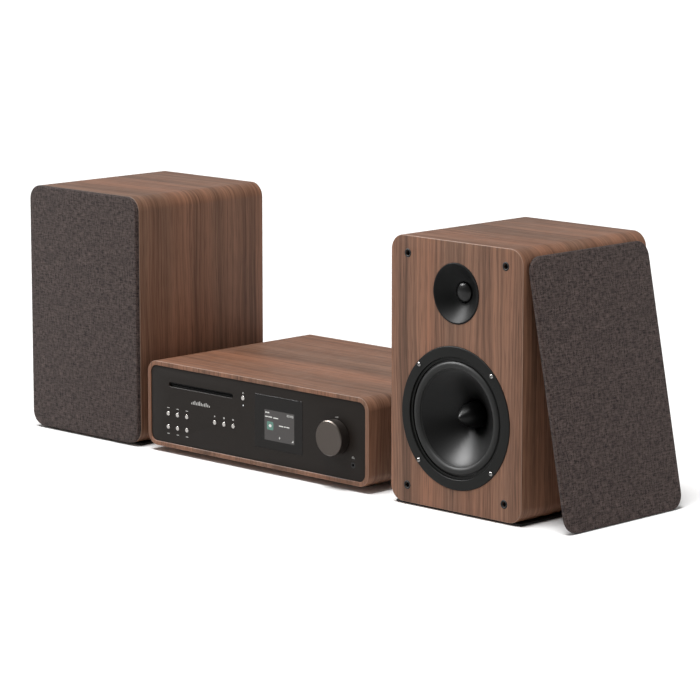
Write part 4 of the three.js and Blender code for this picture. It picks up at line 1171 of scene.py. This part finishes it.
def figureBars(label, x, z, wide, tall, line):
    half = tall / 2
    spots = {
        "a": bar(x, z + tall - line, wide, line), "g": bar(x, z + half - line / 2, wide, line),
        "d": bar(x, z, wide, line), "f": bar(x, z + half, line, half), "e": bar(x, z, line, half),
        "b": bar(x + wide - line, z + half, line, half), "c": bar(x + wide - line, z, line, half),
    }
    return [spots[part] for part in figures[label]]


def printSet(name, outlines, front, depth, finish, place):
    pieces = [slab("mark", outline, front, front + depth) for outline in outlines]
    made = joined(name, pieces)
    put(made, place)
    finished(made, finishes[finish], "root")


def makeScreen(place):
    s = screen
    top = window["front"] - s["lift"]
    wide, tall, x, z = s["right"] - s["left"], s["top"] - s["bottom"], s["left"], s["bottom"]
    printSet("screen_lit_area", [bar(x, z, wide, tall)], top, 0.3, "screenBack", place)
    bars = [bar(x + a, z + b, c, d) for a, b, c, d in (
        (1.5, 35.6, 3.2, 1.5), (5.3, 35.6, 3.6, 1.5), (1.5, 30.2, 5, 1.4), (7.2, 30.2, 7, 1.4),
        (16.5, 29.8, 9, 1.4),
        (27, 20.6, 8, 1.3), (36.4, 20.6, 3, 1.3), (40.6, 20.6, 5.5, 1.3), (27.4, 3.6, 0.8, 3.2),
        (26.6, 4.8, 2.4, 0.8),
    )]
    for i, label in enumerate("2305"):
        bars += figureBars(label, x + 41.5 + 2.9 * i + (1.0 if i > 1 else 0), z + 35, 1.9, 2.8, 0.42)
    bars += [[(x + 50, z + 2.4), (x + 53.4, z + 2.4), (x + 53.4, z + 5.4)]]
    heart = [(x + 10.5 + 2.6 * math.cos(a), z + 19.4 + 2.0 * math.sin(a))
             for a in np.linspace(0, 2 * math.pi, 21)[:-1]]
    printSet("screen_marks", [*bars, heart], top - 0.03, 0.2, "screenWhite", place)
    icon = [(px + x + 4.5, pz + z + 13.8) for px, pz in roundedOutline(12, 11, 2, 0, 5)]
    printSet("screen_icon", [icon], top - 0.015, 0.2, "screenGreen", place)


def makePrint(place):
    marks = []
    grid = [buttonPlaces[f"preset_button_{i}"] for i in range(1, 7)]
    for x, z in grid[:3]:
        marks.append(bar(x - 2.2, z + 7.4, 4.4, 0.9))
    for x, z in grid[3:]:
        marks.append(bar(x - 2.2, z - 9.6, 4.4, 0.9))
    for i in range(3):
        x, z = buttonPlaces[f"transport_button_{i + 1}"]
        shapes = (
            [[(x - 1.2, z + 7), (x + 1.2, z + 8.2), (x - 1.2, z + 9.4)]],
            [bar(x - 1.1, z + 7.1, 2.2, 2.2)], [[(x - 2.0, z + 7), (x - 0.2, z + 8.2), (x - 2.0, z + 9.4)],
             [(x - 0.2, z + 7), (x + 1.6, z + 8.2), (x - 0.2, z + 9.4)]],
        )
        marks += shapes[i]
    x, z = buttonPlaces["eject_button"]
    marks += [[(x - 1.5, z + 6.6), (x + 1.5, z + 6.6), (x, z + 8.3)], bar(x - 1.5, z + 5.7, 3, 0.5)]
    x, z = knob["x"], knob["z"] + 24.4
    marks += [bar(x - 3.4 + 1.3 * i, z, 0.7, 0.8 + 0.35 * i) for i in range(5)]
    x, z = jack["x"], jack["z"] + 8.4
    marks += [bar(x - 1.9, z, 0.8, 1.7), bar(x + 1.1, z, 0.8, 1.7)]
    band = [(x + 1.6 * math.cos(a), z + 1.2 + 1.6 * math.sin(a)) for a in np.linspace(0, math.pi, 9)]
    marks.append([*band, *[(x + 1.2 * math.cos(a), z + 1.2 + 1.2 * math.sin(a))
                           for a in np.linspace(math.pi, 0, 9)]])
    marks += [bar(85 + 3.1 * i, 64.6, 1.5, 1.2 + rise)
              for i, rise in enumerate((1, 2.6, 4, 2.2, 3.4, 4.4, 2.8, 1.6, 3, 3.8, 2.2, 1.2))]
    printSet("front_print", marks, printed["front"], printed["depth"], "print", place)


buttonPlaces = {}


def makeControls(origin, place):
    b = button
    for label, (x, z) in buttonPlaces.items():
        cap = turned(f"{label}_cap", x, z, [
            (0, b["front"] + 0.12), (b["radius"] - 1.2, b["front"] + 0.02),
            *arcPoints(b["radius"] - b["edge"], b["front"] + b["edge"], b["edge"], -90, 0, 5),
            (b["radius"], b["back"]), (0, b["back"]),
        ], 40)
        fitted(cap, 40, place, "button", [label], body=label)
    low, high = reachOf("status_light", origin)
    glow = turned("status_light_tip", lamp["x"], lamp["z"],
                  [(0, low - 0.1), (lamp["radius"] - 0.3, low), (lamp["radius"], low + 0.3),
                   (lamp["radius"], high), (0, high)], 24)
    fitted(glow, 50, place, "lightPipe", ["status_light"])
    k = knob
    low, high = reachOf("volume_knob", origin)
    r, c = k["radius"], k["chamfer"]
    cap = turned("volume_knob_cap", k["x"], k["z"], [
        (0, low + k["dish"]), (r - c - 5, low + 0.1), (r - c - 0.1, low), (r, low + c),
        (r, k["back"] - 0.6), (r - 0.5, k["back"]),
        (r - 2, k["back"]), (r - 2, k["back"] - 7), (k["shaft"] + 3, k["back"] - 7),
        (k["shaft"] + 3, k["back"]), (k["shaft"], k["back"]), (k["shaft"], high), (0, high),
    ], 144)
    fitted(cap, 28, place, "knob", ["volume_knob"], body="volume_knob")
    low, high = reachOf("headphone_jack", origin)
    j = jack
    socket = turned("headphone_socket", j["x"], j["z"], [
        (j["bore"], high), (j["bore"], fascia["front"] + 0.2), (j["bore"] + 0.25, fascia["front"]),
        (j["radius"] - 0.9, fascia["front"] - 0.1),
        (j["radius"], fascia["front"] + 0.4), (j["radius"], fascia["back"]),
        (j["radius"] + 1.5, fascia["back"]), (j["radius"] + 1.5, high),
    ], 48)
    fitted(socket, 35, place, "blackPlastic", ["headphone_jack"])


def makeFeet():
    f = foot
    for a in ("front", "back"):
        for b in sides:
            label = f"foot_{a}_{b}"
            low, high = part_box(label)
            x, y = (low.x + high.x) / 2, (low.y + high.y) / 2
            height = (high.z - low.z) / mm
            made = turned(f"receiver_{label}", 0, 0, [
                (0, 0), (f["radius"] - f["round"], 0), (f["radius"], f["round"]), (f["radius"], f["pad"]),
                (f["radius"] - 0.5, f["pad"] + 0.2),
                (f["radius"] - 0.5, f["pad"] + 0.8), (f["radius"] - 0.2, f["pad"] + 1.0),
                (f["radius"] - 1, height), (0, height),
            ], 56)
            fitted(made, 35, Matrix.Translation((x, y, low.z)) @ Matrix.Rotation(math.pi / 2, 4, "X"),
                   "rubber", [label])


def makeRear(origin, place):
    low, high = reachOf("chassis", origin)
    v = rear
    spots = [(v["left"] + v["pitch"] * i, high - 0.35, v["low"] + v["rise"] * j + v["length"] / 2)
             for i in range(v["columns"]) for j in range(v["rows"])]
    grown("rear_louvres", "louvres", spots, "zinc", "zinc_steel", place, Length=v["length"] * mm,
          Rise=v["louvreRise"] * mm, Turn=towardFront)
    edge, tip = v["sockets"], reachOf("rear_sockets", origin)[1]
    tips = [(edge + 76, tip - 3, 54), (edge + 94, tip - 3, 54), (edge + 109, tip, 68)]
    grown("rear_socket_collars", "rings", tips, "chrome", "chrome", place, Ring_Radius=v["collar"] * mm,
          Bead_Radius=v["bead"] * mm, Turn=towardBack)
    heads = [(x, high, z) for x in v["screwsAcross"] for z in v["screwsUp"]]
    grown("rear_screws", "screws", heads, "chrome", "chrome", place, Head_Radius=v["screwRadius"] * mm,
          Head_Height=v["screwHeight"] * mm, Socket_Radius=v["screwSocket"] * mm, Turn=towardBack)


def makeReceiver():
    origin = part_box("case_sleeve")[0]
    place = Matrix.Translation(origin)
    labels = [f"preset_button_{i}" for i in range(1, 7)] + [f"transport_button_{i}"
                                                            for i in range(1, 4)] + ["eject_button"]
    for label in labels:
        x, _, z = centreOf(label, origin)
        buttonPlaces[label] = (x, z)
    makeCase(place)
    makeScreen(place)
    makePrint(place)
    makeControls(origin, place)
    makeFeet()
    makeRear(origin, place)
    print("receiver ready")


# Parts that keep their CAD shape only take a finish.
keptFinishes = {
    "base_pad": "rubber", "crossover": "board", "chassis": "zinc", "display_module": "blackPlastic",
    "main_board": "board",
    "power_supply": "zinc", "disc_loader": "zinc", "feed_roller": "rubber", "disc_turntable": "rubber",
    "laser_sled": "blackPlastic",
    "encoder_body": "blackPlastic", "encoder_rotor": "zinc", "mains_inlet": "blackPlastic",
    "rear_sockets": "blackPlastic",
}


def finishKept():
    replaced = {label for made in bpy.data.objects for label in made.get("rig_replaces", [])}
    for label, made in frame["nodes"].items():
        if label in replaced:
            continue
        wanted = [mat for part, mat in keptFinishes.items() if label.endswith(part)]
        made.data.materials.clear()
        made.data.materials.append(finishes[wanted[0]])


makeSpeakers()
makeReceiver()
finishKept()
makeCamera()
makeStage()
